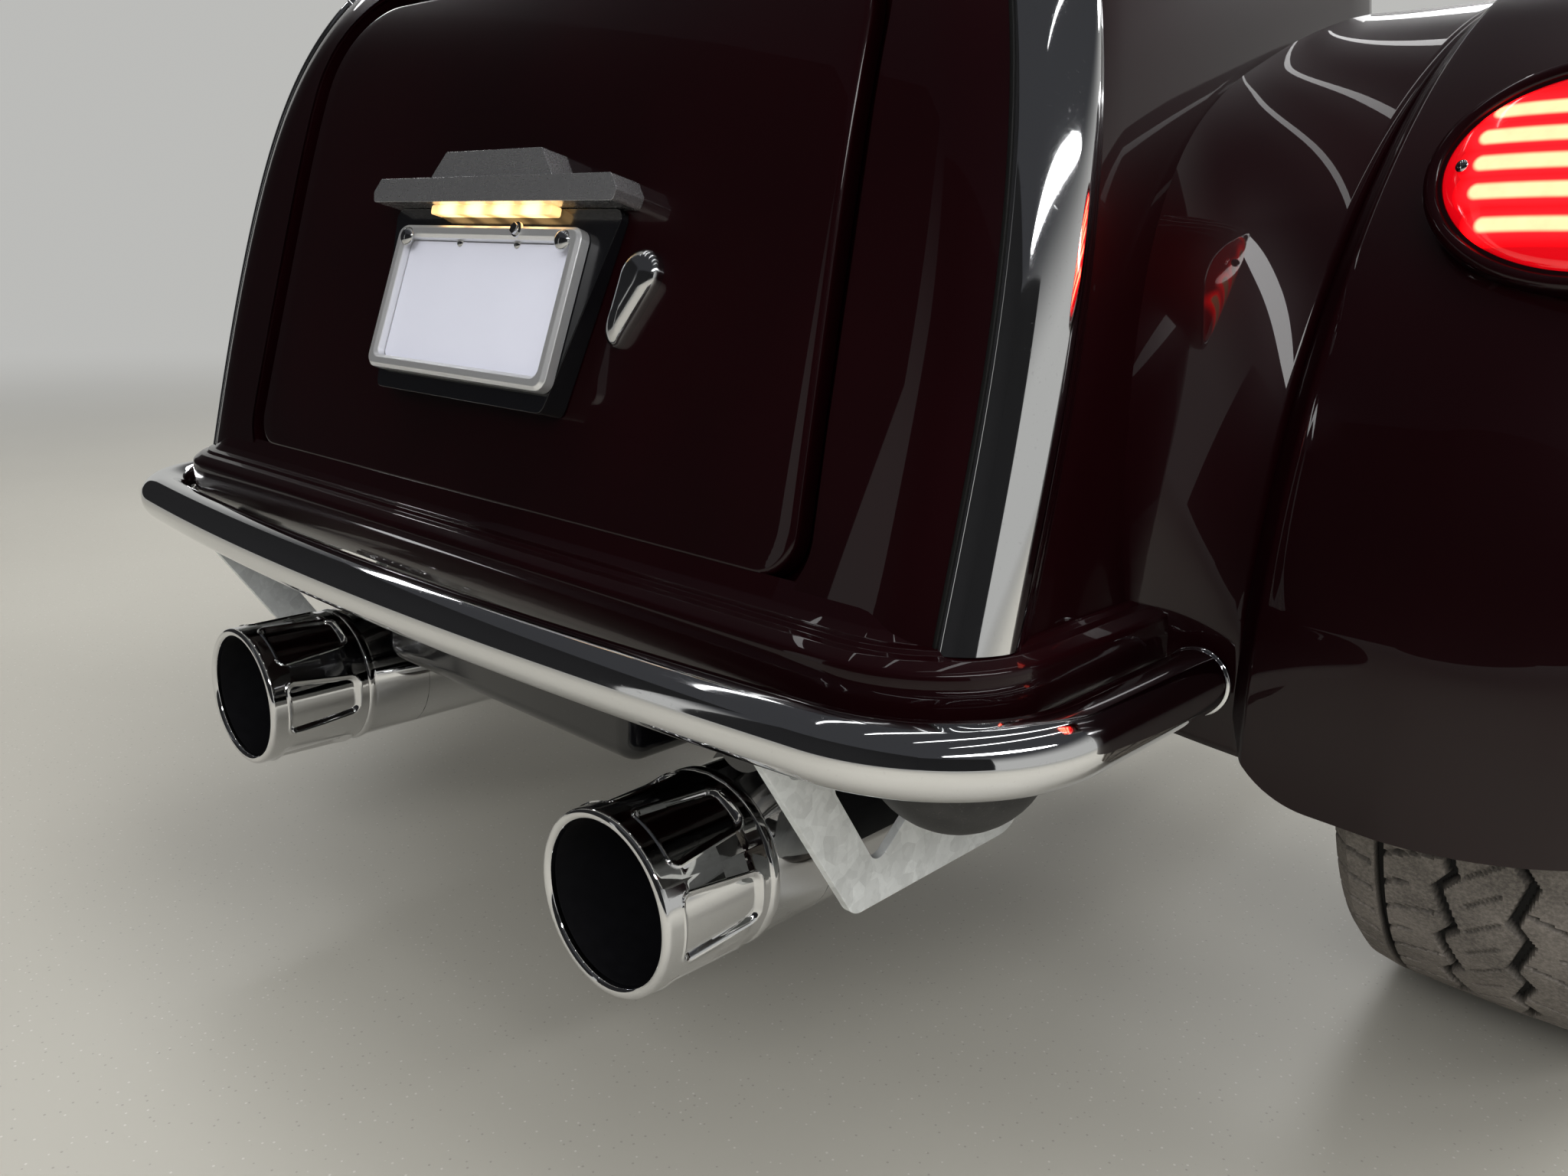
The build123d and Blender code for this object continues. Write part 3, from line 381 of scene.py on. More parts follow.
def round_axle(x: float, radius: float, turn: float) -> Point:
    """Point round the axle's line, by its angle from straight up toward the front."""
    return x, AXLE_BACK + radius * math.sin(turn), AXLE_LEVEL + radius * math.cos(turn)


def bend(centre: Vector, radius: float, angles: Iterable[float]) -> list[Station]:
    """Points and outward directions along an arc in plan.

    Args:
        centre: The arc's centre.
        radius: Its radius.
        angles: Angles of the points from straight back toward the right.

    Returns:
        The arc's stations.
    """
    line = []
    for angle in angles:
        out = Vector((math.sin(angle), -math.cos(angle)))
        line.append((centre + out * radius, out))
    return line


def both_ways(right: list[Station]) -> list[Station]:
    """A whole line in plan, left to right, from its right half."""
    left = [(Vector((-spot.x, spot.y)), Vector((-out.x, out.y))) for spot, out in reversed(right[1:])]
    return left + right


def rounded(points: Sequence[Pair], radii: Sequence[float], steps: int = 5) -> list[Pair]:
    """Round the inner corners of an open line.

    Args:
        points: The line's corners.
        radii: One radius for each corner but the first and last.
        steps: Segments to a corner.

    Returns:
        The line with arcs for its corners.
    """
    line = [tuple(points[0])]
    for before, corner, after, radius in zip(points, points[1:], points[2:], radii):
        if radius <= 0:
            line.append(tuple(corner))
            continue
        middle = Vector(corner)
        back = (Vector(before) - middle).normalized()
        on = (Vector(after) - middle).normalized()
        half = back.angle(on) / 2
        centre = middle + (back + on).normalized() * radius / math.sin(half)
        start = middle + back * radius / math.tan(half) - centre
        end = middle + on * radius / math.tan(half) - centre
        turn = math.pi - 2 * half
        for step in range(steps + 1):
            share = step / steps
            spot = (start * math.sin((1 - share) * turn) + end * math.sin(share * turn)) / math.sin(turn)
            line.append(tuple(centre + spot))
    line.append(tuple(points[-1]))
    return line


def arc_line(start: Pair, middle: Pair, end: Pair, steps: int) -> list[Pair]:
    """Points along the arc through three points.

    Args:
        start: First point.
        middle: A point on the way.
        end: Last point.
        steps: Segments.

    Returns:
        The points, both ends included.
    """
    a, b, c = (Vector(point) for point in (start, middle, end))
    double = 2 * (a.x * (b.y - c.y) + b.x * (c.y - a.y) + c.x * (a.y - b.y))
    x = (a.dot(a) * (b.y - c.y) + b.dot(b) * (c.y - a.y) + c.dot(c) * (a.y - b.y)) / double
    y = (a.dot(a) * (c.x - b.x) + b.dot(b) * (a.x - c.x) + c.dot(c) * (b.x - a.x)) / double
    centre = Vector((x, y))
    first = math.atan2(*reversed(a - centre))
    last = math.atan2(*reversed(c - centre))
    radius = (a - centre).length
    return [(x + radius * math.cos(turn), y + radius * math.sin(turn)) for turn in spaced(first, last, steps)]


def mapped(columns: Sequence[float], rows: Sequence[float], place: Callable[[float, float], Sequence[float]],
           leave: Optional[Callable[[float, float], bool]] = None, inside: Optional[Point] = None,
           shut: bool = False) -> Mesh:
    """Lay a grid over a form given in millimetres.

    Args:
        columns: The grid's first values.
        rows: Its second values.
        place: Point of the form for a pair of values.
        leave: Says which cells, by their middle values, are left out.
        inside: A point that the faces look away from; without it they look out of a closed form.
        shut: Whether the grid's borders meet and are merged.

    Returns:
        The mesh, in metres.
    """
    mesh = bmesh.new()
    across = len(columns) - 1
    up = len(rows) - 1
    bmesh.ops.create_grid(mesh, x_segments=across, y_segments=up, size=0.5)
    if leave is not None:
        gone = []
        for cell in mesh.faces:
            middle = cell.calc_center_median()
            column = int((middle.x + 0.5) * across)
            row = int((middle.y + 0.5) * up)
            if leave((columns[column] + columns[column + 1]) / 2, (rows[row] + rows[row + 1]) / 2):
                gone.append(cell)
        bmesh.ops.delete(mesh, geom=gone, context="FACES")
    for vert in mesh.verts:
        column = round((vert.co.x + 0.5) * across)
        row = round((vert.co.y + 0.5) * up)
        vert.co = Vector(place(columns[column], rows[row])) * MM
    if shut:
        bmesh.ops.remove_doubles(mesh, verts=mesh.verts, dist=TOUCHING)
    face_outward(mesh, inside)
    return mesh


def face_outward(mesh: Mesh, inside: Optional[Point]) -> None:
    """Make the faces look away from a point, or outward where the form is closed.

    Args:
        mesh: The mesh.
        inside: The point in millimetres, or nothing for a closed form.
    """
    if inside is None:
        bmesh.ops.recalc_face_normals(mesh, faces=mesh.faces)
        return
    mesh.normal_update()
    centre = Vector(inside) * MM
    total = sum(face.normal.dot(face.calc_center_median() - centre) * face.calc_area() for face in mesh.faces)
    if total < 0:
        bmesh.ops.reverse_faces(mesh, faces=mesh.faces)


def flowing(points: Sequence[Pair], along: float) -> Vector:
    """Point on a smooth line through given points.

    Args:
        points: The points.
        along: How far, one for each point.

    Returns:
        The point.
    """
    index = min(int(along), len(points) - 2)
    share = along - index
    near = [Vector(points[min(max(index + step, 0), len(points) - 1)]) for step in (-1, 0, 1, 2)]
    bend = near[0] * 2 - near[1] * 5 + near[2] * 4 - near[3]
    twist = near[1] * 3 - near[0] - near[2] * 3 + near[3]
    return (near[1] * 2 + (near[2] - near[0]) * share + bend * share ** 2 + twist * share ** 3) / 2


def joined(parts: Iterable[Mesh], merge: float = 0.0) -> Mesh:
    """Put several meshes into one and free them.

    Args:
        parts: The meshes.
        merge: Distance within which points are merged.

    Returns:
        One mesh with them all.
    """
    whole = bmesh.new()
    for part in parts:
        data = bpy.data.meshes.new("part")
        part.to_mesh(data)
        part.free()
        whole.from_mesh(data)
        bpy.data.meshes.remove(data)
    if merge > 0:
        bmesh.ops.remove_doubles(whole, verts=whole.verts, dist=merge)
    return whole


def on_side(mesh: Mesh, side: Side) -> Mesh:
    """Mirror a right-hand mesh where the side asks for it.

    Args:
        mesh: The right-hand mesh, mirrored in place.
        side: Where it belongs.

    Returns:
        The mesh.
    """
    if side is Side.LEFT:
        bmesh.ops.scale(mesh, vec=(-1, 1, 1), verts=mesh.verts)
        bmesh.ops.reverse_faces(mesh, faces=mesh.faces)
    return mesh


def moved(mesh: Mesh, matrix: Matrix) -> Mesh:
    """Move a mesh by a matrix whose shift is in metres."""
    bmesh.ops.transform(mesh, matrix=matrix, verts=mesh.verts)
    return mesh


def turned(rows: Sequence[Pair], centre: Point, axis: str = "x", steps: int = 96) -> Mesh:
    """Turn an outline about a line along X, Y or Z.

    Args:
        rows: Outline as (place along the line, radius) in millimetres.
        centre: A point of the line.
        axis: The line's direction, x, y or z.
        steps: Segments round.

    Returns:
        The mesh.
    """
    line = Vector([float(axis == letter) for letter in "xyz"])
    side = line.orthogonal().normalized()
    middle = Vector(centre) * MM
    mesh = bmesh.new()
    verts = [mesh.verts.new(middle + (line * along + side * radius) * MM) for along, radius in rows]
    edges = [mesh.edges.new(pair) for pair in zip(verts, verts[1:])]
    bmesh.ops.spin(mesh, geom=[*verts, *edges], cent=middle, axis=line, angle=2 * math.pi, steps=steps,
                   use_merge=True)
    bmesh.ops.remove_doubles(mesh, verts=mesh.verts, dist=TOUCHING)
    bmesh.ops.recalc_face_normals(mesh, faces=mesh.faces)
    return mesh


def aimed(at: Sequence[float], direction: Sequence[float]) -> Matrix:
    """Matrix that carries Z to a direction at a point given in millimetres."""
    turn = Vector((0, 0, 1)).rotation_difference(Vector(direction))
    return Matrix.Translation(Vector(at) * MM) @ turn.to_matrix().to_4x4()


def leaning(origin: Vector, lean: float) -> Matrix:
    """From a plane that leans forward, X across, Y up and Z out, to the model.

    Args:
        origin: The plane's centre in millimetres.
        lean: Degrees that it leans.

    Returns:
        The matrix, for a mesh in metres.
    """
    angle = math.radians(lean)
    up = Vector((0.0, math.sin(angle), math.cos(angle)))
    outward = Vector((0.0, -math.cos(angle), math.sin(angle)))
    basis = Matrix((Vector((1, 0, 0)), up, outward)).transposed().to_4x4()
    return Matrix.Translation(origin * MM) @ basis


def cone(low: float, high: float, depth: float, up: float, segments: int) -> Mesh:
    """Capped cone along Z in millimetres.

    Args:
        low: Radius of its lower end.
        high: Radius of its upper end.
        depth: Its length.
        up: Height of its middle.
        segments: Segments round.

    Returns:
        The mesh.
    """
    mesh = bmesh.new()
    bmesh.ops.create_cone(mesh, cap_ends=True, segments=segments, radius1=low * MM, radius2=high * MM,
                          depth=depth * MM, matrix=Matrix.Translation((0, 0, up * MM)))
    return mesh


def hex_bolt(at: Sequence[float], direction: Sequence[float], size: float) -> Mesh:
    """Hexagon head on a washer, its seat at a point.

    Args:
        at: The seat in millimetres.
        direction: Where the head points.
        size: Width across the head's corners, in millimetres.

    Returns:
        The mesh.
    """
    height = size * 0.36
    head = cone(size / 2, size / 2, height, height / 2 + 1.2, 6)
    rim = [edge for edge in head.edges if all(vert.co.z > height * 0.6 * MM for vert in edge.verts)]
    bmesh.ops.bevel(head, geom=rim, offset=size * 0.05 * MM, segments=2, profile=0.5, affect="EDGES",
                    material=-1)
    washer = cone(size * 0.68, size * 0.64, 1.4, 0.6, 32)
    return moved(joined([head, washer]), aimed(at, direction))


def dome_screw(at: Sequence[float], direction: Sequence[float], radius: float, height: float) -> Mesh:
    """Round domed head, its seat at a point.

    Args:
        at: The seat in millimetres.
        direction: Where the head points.
        radius: The head's radius.
        height: Its height.

    Returns:
        The mesh.
    """
    dome = [(height * math.sin(lean), radius * math.cos(lean)) for lean in spaced(0, math.pi / 2, 6)]
    return moved(turned([(0.0, 0.0), *dome], (0.0, 0.0, 0.0), "z", 24), aimed(at, direction))


class Section(NamedTuple):
    """One section of the trunk: height and back edge from the bumper, rise in degrees, and plan sizes."""

    height: float
    rise: float
    rear: float
    half_width: float
    corner: float


@dataclass(frozen=True)
class Loft:
    """The trunk's form, blended through its sections as the solid is.

    Across a section the value p runs from 0 on the middle plane to 1 at the end of the straight back, 2 at
    the end of the corner, 3 and 4 round the front corner and 5 at the middle of the front.
    """

    sections: tuple[Section, ...] = (
        Section(-5.0, 0.0, 60.0, 432.0, 48.0), Section(100.0, 3.0, 84.0, 431.0, 49.0),
        Section(205.0, 9.0, 109.0, 426.0, 51.0), Section(305.0, 17.0, 134.0, 409.0, 55.0),
        Section(395.0, 21.0, 166.0, 372.0, 62.0), Section(458.0, 18.0, 216.0, 310.0, 70.0))
    front: float = 560.0
    front_corner: float = 30.0
    face_lean: float = 13.0
    face_rear: float = 74.0
    face_bottom: float = 55.0

    @cached_property
    def knots(self) -> list[float]:
        """Place of each section between 0 and 1, by the length of the back's line.

        Returns:
            A number for each section.
        """
        reach = [0.0]
        for first, second in zip(self.sections, self.sections[1:]):
            reach.append(reach[-1] + math.hypot(second.height - first.height, second.rear - first.rear))
        return [length / reach[-1] for length in reach]

    def weights(self, level: float) -> list[float]:
        """Weight of each section.

        Args:
            level: Level from 0 to 1.

        Returns:
            One share for each section.
        """
        shares = []
        for index, knot in enumerate(self.knots):
            share = 1.0
            for other, place in enumerate(self.knots):
                if other != index:
                    share *= (level - place) / (knot - place)
            shares.append(share)
        return shares

    def on_section(self, section: Section, p: float) -> Vector:
        """Point of one section in the model's millimetres.

        Args:
            section: The section.
            p: Place across it, negative on the left.

        Returns:
            The point.
        """
        height, rise, rear, half_width, corner = section
        slope = math.radians(rise)
        deep = (self.front - rear) / math.cos(slope)
        zone = abs(p)
        if zone <= 1:
            x, forward = zone * (half_width - corner), 0.0
        elif zone <= 2:
            turn = (zone - 1) * math.pi / 2
            x = half_width - corner + corner * math.sin(turn)
            forward = corner * (1 - math.cos(turn))
        elif zone <= 3:
            x, forward = half_width, corner + (zone - 2) * (deep - self.front_corner - corner)
        elif zone <= 4:
            turn = (zone - 3) * math.pi / 2
            x = half_width - self.front_corner * (1 - math.cos(turn))
            forward = deep - self.front_corner * (1 - math.sin(turn))
        else:
            x, forward = (half_width - self.front_corner) * (5 - zone), deep
        return Vector((math.copysign(x, p), BUMPER_BACK + rear + forward * math.cos(slope),
                       BUMPER_LEVEL + height + forward * math.sin(slope)))

    def base(self, p: float, level: float) -> Vector:
        """Point of the form, in millimetres.

        Args:
            p: Place across the form.
            level: Level from 0 to 1.

        Returns:
            The point in millimetres.
        """
        total = Vector()
        for share, section in zip(self.weights(level), self.sections):
            total += share * self.on_section(section, p)
        return total

    def place(self, p: float, level: float, out: float = 0.0) -> Vector:
        """Point off the form.

        Args:
            p: Place across.
            level: Level from 0 to 1.
            out: Distance outward in millimetres.

        Returns:
            The point.
        """
        spot = self.base(p, level)
        if out == 0:
            return spot
        step = 0.004
        across = self.base(p + step, level) - self.base(p - step, level)
        up = self.base(p, min(level + step, 1.0)) - self.base(p, max(level - step, 0.0))
        return spot + across.cross(up).normalized() * out

    def flat(self, level: float) -> float:
        """Half width of the straight back at a level."""
        return sum(share * (row.half_width - row.corner)
                   for share, row in zip(self.weights(level), self.sections))

    def corner(self, level: float) -> float:
        """Rear corner radius at a level."""
        return sum(share * row.corner for share, row in zip(self.weights(level), self.sections))

    def along(self, level: float) -> float:
        """Distance up the door's leaning face at a level.

        Args:
            level: Level from 0 to 1.

        Returns:
            The distance in millimetres.
        """
        lean = math.radians(self.face_lean)
        spot = self.base(0.0, level)
        return ((spot.y - BUMPER_BACK - self.face_rear) * math.sin(lean)
                + (spot.z - BUMPER_LEVEL - self.face_bottom) * math.cos(lean))

    @lru_cache(maxsize=None)
    def level_at(self, along: float) -> float:
        """Level at a distance up the door's leaning face."""
        return meeting(lambda level: self.along(level) < along)

    def on_back(self, x: float, along: float, out: float = 0.0) -> Vector:
        """Point off the straight back, by X and the distance up the leaning face."""
        level = self.level_at(along)
        return self.place(x / self.flat(level), level, out)

    def share_at(self, level: float, forward: float) -> float:
        """Value p at a distance ahead of the back edge, on the corner or the side.

        Args:
            level: Level from 0 to 1.
            forward: The distance ahead.

        Returns:
            The value.
        """
        corner = self.corner(level)
        if forward <= corner:
            return 1 + math.acos(1 - forward / corner) / (math.pi / 2)
        deep = sum(share * (self.front - row.rear) for share, row in zip(self.weights(level), self.sections))
        return 2 + (forward - corner) / (deep - self.front_corner - corner)

    def share_inside(self, level: float, inset: float) -> float:
        """Value p on the rear corner at a distance inside the full half width."""
        return 1 + math.asin(max(0.0, 1 - inset / self.corner(level))) / (math.pi / 2)

    def side(self, y: float, z: float) -> float:
        """X of the right side at a place in the model's millimetres.

        Args:
            y: Place along the vehicle.
            z: Height.

        Returns:
            The half width there.
        """
        def height(level: float) -> float:
            """Height of a level's line at this place.

            Args:
                level: Level from 0 to 1.

            Returns:
                The height in millimetres.
            """
            total = 0.0
            for share, row in zip(self.weights(level), self.sections):
                ahead = y - BUMPER_BACK - row.rear
                total += share * (BUMPER_LEVEL + row.height + ahead * math.tan(math.radians(row.rise)))
            return total

        weights = self.weights(meeting(lambda level: height(level) < z, 24))
        return sum(share * row.half_width for share, row in zip(weights, self.sections))


TRUNK = Loft()
INSIDE_TRUNK: Point = (0.0, -900.0, 150.0)
INSIDE_CORNER: Point = (250.0, -1000.0, 150.0)


@dataclass(frozen=True)
class DoorLine:
    """The door's outline on the leaning face, which narrows upward and has round corners."""

    bottom: float = 316.0
    top: float = 288.0
    height: float = 372.0
    corner: float = 26.0
    top_corner: float = 75.0

    def arcs(self, grow: float) -> tuple[Point, Point, float]:
        """Centres and radii of the right-hand arcs, and the side's angle.

        Args:
            grow: How far the outline is grown.

        Returns:
            Bottom arc and top arc as (x, up, radius), and the angle of the side's outward direction.
        """
        tall = self.height + 2 * grow
        slope = (self.top - self.bottom) / tall
        stretch = math.hypot(1.0, slope)
        low = self.corner + grow
        high = self.top_corner + grow
        lower = (self.bottom + grow + slope * low - low * stretch, -grow + low, low)
        upper = (self.bottom + grow + slope * (tall - high) - high * stretch, self.height + grow - high, high)
        return lower, upper, math.atan(-slope)

    def ups(self, grow: float, steps: int = 8, straight: int = 24) -> list[float]:
        """Distances up the face at which the outline is sampled, bottom to top.

        Args:
            grow: How far the outline is grown.
            steps: Steps round a bottom corner, doubled round a top one.
            straight: Steps up the side.

        Returns:
            The distances.
        """
        lower, upper, side = self.arcs(grow)
        rows = [lower[1] + lower[2] * math.sin(turn) for turn in spaced(-math.pi / 2, side, steps)]
        top = [upper[1] + upper[2] * math.sin(turn) for turn in spaced(side, math.pi / 2, 2 * steps)]
        return rows + spaced(rows[-1], top[0], straight)[1:-1] + top

    def half_width(self, up: float, grow: float) -> float:
        """Half width of the outline at a distance up the face.

        Args:
            up: Distance up the face, held between the outline's ends.
            grow: How far the outline is grown.

        Returns:
            The half width, that of the straight end at the ends.
        """
        lower, upper, side = self.arcs(grow)
        up = min(max(up, lower[1] - lower[2]), upper[1] + upper[2])
        first = lower[1] + lower[2] * math.sin(side)
        last = upper[1] + upper[2] * math.sin(side)
        if up < first:
            return lower[0] + math.sqrt(max(0.0, lower[2] ** 2 - (up - lower[1]) ** 2))
        if up > last:
            return upper[0] + math.sqrt(max(0.0, upper[2] ** 2 - (up - upper[1]) ** 2))
        start = lower[0] + lower[2] * math.cos(side)
        end = upper[0] + upper[2] * math.cos(side)
        return start + (end - start) * (up - first) / (last - first)

    def loop(self, grow: float, shares: Sequence[float]) -> list[Pair]:
        """The closed outline.

        Args:
            grow: How far the outline is grown.
            shares: Shares of the half width at which the straight ends are sampled, from -1 to 1.

        Returns:
            Its points as (x, up), the first repeated last.
        """
        right = [(self.half_width(up, grow), up) for up in self.ups(grow)]
        left = [(-x, up) for x, up in reversed(right)]
        top = [(share * right[-1][0], right[-1][1]) for share in reversed(shares[1:-1])]
        bottom = [(share * right[0][0], right[0][1]) for share in shares[1:-1]]
        return right + top + left + bottom + [right[0]]

    def band(self, profile: Sequence[Pair], shares: Sequence[float]) -> Mesh:
        """Band along the closed outline.

        Args:
            profile: Cross-section as (growth of the outline, distance off the trunk's form).
            shares: Shares of the half width at which the straight ends are sampled.

        Returns:
            The mesh.
        """
        loops = [self.loop(grow, shares) for grow, out in profile]

        def place(index: float, step: float) -> Vector:
            """Point for a column and a row."""
            x, up = loops[int(step)][int(index)]
            return TRUNK.on_back(x, up, profile[int(step)][1])

        return mapped(range(len(loops[0])), range(len(profile)), place, shut=True)


@dataclass(frozen=True)
class Finish:
    """A plain finish: colour, roughness and metal with a light mottle and an orange-peel bump."""

    name: str
    colour: Colour
    roughness: float = 0.4
    metallic: float = 0.0
    mottle: float = 0.08
    grain: float = 900.0
    relief: float = 0.00002
    coat: float = 0.0

    def material(self) -> bpy.types.Material:
        """The finish's material, made once.

        Returns:
            The material.
        """
        found = bpy.data.materials.get(self.name)
        if found is not None:
            return found
        graph = MaterialGraph(self.name)
        self.dress(graph)
        return graph.material

    def dress(self, graph: MaterialGraph) -> None:
        """Fill the material's graph.

        Args:
            graph: The graph.
        """
        cloud = graph.noise(14.0, 4.0)
        dark = tuple(part * (1 - self.mottle) for part in self.colour)
        light = tuple(min(1.0, part * (1 + self.mottle)) for part in self.colour)
        graph.set(Base_Color=graph.blend(cloud, dark, light), Metallic=self.metallic, Coat_Weight=self.coat,
                  Coat_Roughness=0.03, Roughness=cloud * 0.12 + (self.roughness - 0.06))
        graph.bump(graph.noise(self.grain, 2.0), self.relief)


@dataclass(frozen=True)
class Paint(Finish):
    """Deep black-cherry paint under clear lacquer."""

    deep: Colour = (0.003, 0.0004, 0.0008)

    def dress(self, graph: MaterialGraph) -> None:
        """Fill the material's graph.

        Args:
            graph: The graph.
        """
        flakes = graph.spots(2600.0)
        cloud = graph.noise(5.0, 2.0)
        sparkle = flakes.ramp(0.28, 0.08) * 0.5
        dust = graph.noise(310.0, 3.0, 0.7).ramp(0.66, 0.8)
        base = graph.blend(cloud * 0.35 + sparkle * 0.5, self.deep, self.colour)
        graph.set(Base_Color=base, Metallic=0.2, Roughness=0.34, Coat_Weight=0.8,
                  Coat_Roughness=0.012, Coat_IOR=1.4, Specular_IOR_Level=0.1)
        graph.bump(dust, 0.000004, 0.4)


@dataclass(frozen=True)
class Chrome(Finish):
    """Polished chrome with faint haze, wiping marks and dust."""

    haze: float = 0.045
    metal: float = 1.0

    def dress(self, graph: MaterialGraph) -> None:
        """Fill the material's graph.

        Args:
            graph: The graph.
        """
        cloud = graph.noise(22.0, 4.0)
        dust = graph.noise(520.0, 2.0).ramp(0.64, 0.74)
        wiped = graph.noise(90.0, 3.0, 0.6, graph.stretched((1.0, 0.12, 0.12))).ramp(0.45, 0.8)
        graph.set(Base_Color=graph.blend(dust * 0.5 + cloud * 0.3, self.colour,
                                         tuple(part * 0.88 for part in self.colour)),
                  Metallic=self.metal,
                  Roughness=cloud * self.haze + dust * 0.07 + wiped * 0.02 + self.roughness)


@dataclass(frozen=True)
class Zinc(Finish):
    """Hot-dipped zinc: grey crystals of several shades with scuffs."""

    def dress(self, graph: MaterialGraph) -> None:
        """Fill the material's graph.

        Args:
            graph: The graph.
        """
        bent = graph.noise(60.0, 2.0)
        shade = graph.patches(95.0)[0]
        fine = graph.patches(230.0)[1]
        scuff = graph.noise(34.0, 5.0, 0.7).ramp(0.58, 0.7)
        tone = shade * 0.5 + fine * 0.25 + bent * 0.25
        colour = graph.blend(tone, tuple(part * 0.66 for part in self.colour), self.colour)
        graph.set(Base_Color=graph.blend(scuff * 0.5, colour, (0.9, 0.91, 0.91)), Metallic=0.3,
                  Roughness=shade * 0.16 + scuff * 0.1 + self.roughness)
        graph.bump(shade * 0.6 + fine * 0.4, 0.00006, 0.5)


@dataclass(frozen=True)
class Rubber(Finish):
    """Tyre rubber: worn and dusty on the blocks, darker by depth in the grooves, partly because dust only
    lies on the blocks and partly as painted shade.
    """

    dust: Colour = (0.33, 0.295, 0.262)

    def dress(self, graph: MaterialGraph) -> None:
        """Fill the material's graph.

        Args:
            graph: The graph.
        """
        sunk = Level(graph, graph.node("ShaderNodeAttribute", {"attribute_name": "sunk"}, {}).outputs["Fac"])
        patch = graph.noise(16.0, 4.0, 0.6)
        grit = graph.noise(380.0, 4.0, 0.7)
        # The dust share falls with the groove depth in the sunk layer: partly dust kept off the grooves,
        # partly painted shade in them.
        share = (patch.ramp(0.2, 0.8) * 0.35 + grit.ramp(0.3, 0.8) * 0.4 + 0.2) * (1 - sunk)
        graph.set(Base_Color=graph.blend(share, self.colour, self.dust),
                  Roughness=0.92 - patch * 0.1 - sunk * 0.1, Specular_IOR_Level=0.3)
        graph.bump(grit * 0.7 + graph.noise(1500.0, 2.0) * 0.3, 0.0003, 0.7)


@dataclass(frozen=True)
class Dusty(Finish):
    """Black moulding with a film of dust in random patches, and fine specks."""

    film: Colour = (0.12, 0.115, 0.11)
    share: float = 0.35

    def dress(self, graph: MaterialGraph) -> None:
        """Fill the material's graph.

        Args:
            graph: The graph.
        """
        patch = graph.noise(24.0, 5.0, 0.65).ramp(0.42, 0.8)
        specks = graph.noise(700.0, 2.0).ramp(0.62, 0.7)
        graph.set(Base_Color=graph.blend(patch * self.share + specks * 0.2, self.colour, self.film),
                  Roughness=patch * 0.2 + self.roughness)
        graph.bump(graph.noise(self.grain, 3.0), self.relief)


@dataclass(frozen=True)
class Shine(Finish):
    """A part that gives light by itself."""

    light: Colour = (1.0, 0.8, 0.5)
    strength: float = 2.0

    def dress(self, graph: MaterialGraph) -> None:
        """Fill the material's graph.

        Args:
            graph: The graph.
        """
        x = graph.axes(graph.place)[0]
        spots = (x * 95.0).sine().size().ramp(0.2, 1.0)
        graph.set(Base_Color=self.colour, Roughness=self.roughness, Emission_Strength=self.strength,
                  Emission_Color=graph.blend(spots, tuple(part * 0.3 for part in self.light), self.light))


@dataclass(frozen=True)
class LitLens(Finish):
    """Red tail lamp lens with lit bars behind it, drawn from the lamp's own plane."""

    bars: tuple[tuple[float, float, float], ...] = (
        (30.5, 55.0, 3.9), (16.3, 58.2, 4.1), (2.2, 57.4, 4.1), (-12.6, 56.6, 4.1), (-29.5, 50.0, 3.8))
    centre: Point = (610.0, -863.9, 254.2)
    tilt: float = 20.0

    def dress(self, graph: MaterialGraph) -> None:
        """Fill the material's graph.

        Args:
            graph: The graph.
        """
        x, y, z = graph.axes(graph.place)
        lean = math.radians(self.tilt)
        across = (x.size() * 1000.0 - self.centre[0]).size()
        back = y * 1000.0 - self.centre[1]
        high = z * 1000.0 - self.centre[2]
        up = back * math.sin(lean) + high * math.cos(lean)
        core: Optional[Level] = None
        glow: Optional[Level] = None
        for middle, reach, radius in self.bars:
            beyond = (across - (reach - radius)).most(0.0)
            rise = up - middle
            distance = (beyond * beyond + rise * rise) ** 0.5
            inner = distance.ramp(radius + 0.9, radius - 1.6)
            outer = distance.ramp(radius + 8.0, radius - 1.0)
            core = inner if core is None else core.most(inner)
            glow = outer if glow is None else glow.most(outer)
        ripple = graph.noise(140.0, 2.0) * 0.25 + 0.8
        red = graph.blend(glow, (0.06, 0.0, 0.0004), (1.0, 0.002, 0.003))
        lit = graph.blend(core * ripple, red, (0.22, 0.125, 0.065))
        graph.set(Base_Color=self.colour, Roughness=self.roughness, Coat_Weight=1.0, Coat_Roughness=0.02,
                  Emission_Color=lit, Emission_Strength=9.0)


@dataclass(frozen=True)
class SootAndShade(Finish):
    """Inside of an exhaust: a near-black sooty lining that reflects almost nothing, partly real soot and
    partly painted shade deep in the pipe.
    """

    def dress(self, graph: MaterialGraph) -> None:
        """Fill the material's graph.

        Args:
            graph: The graph.
        """
        cloud = graph.noise(120.0, 4.0)
        graph.set(Base_Color=graph.blend(cloud, self.colour, tuple(part * 2.2 for part in self.colour)),
                  Roughness=0.85, Specular_IOR_Level=0.15)
        graph.bump(cloud, 0.0003, 0.5)


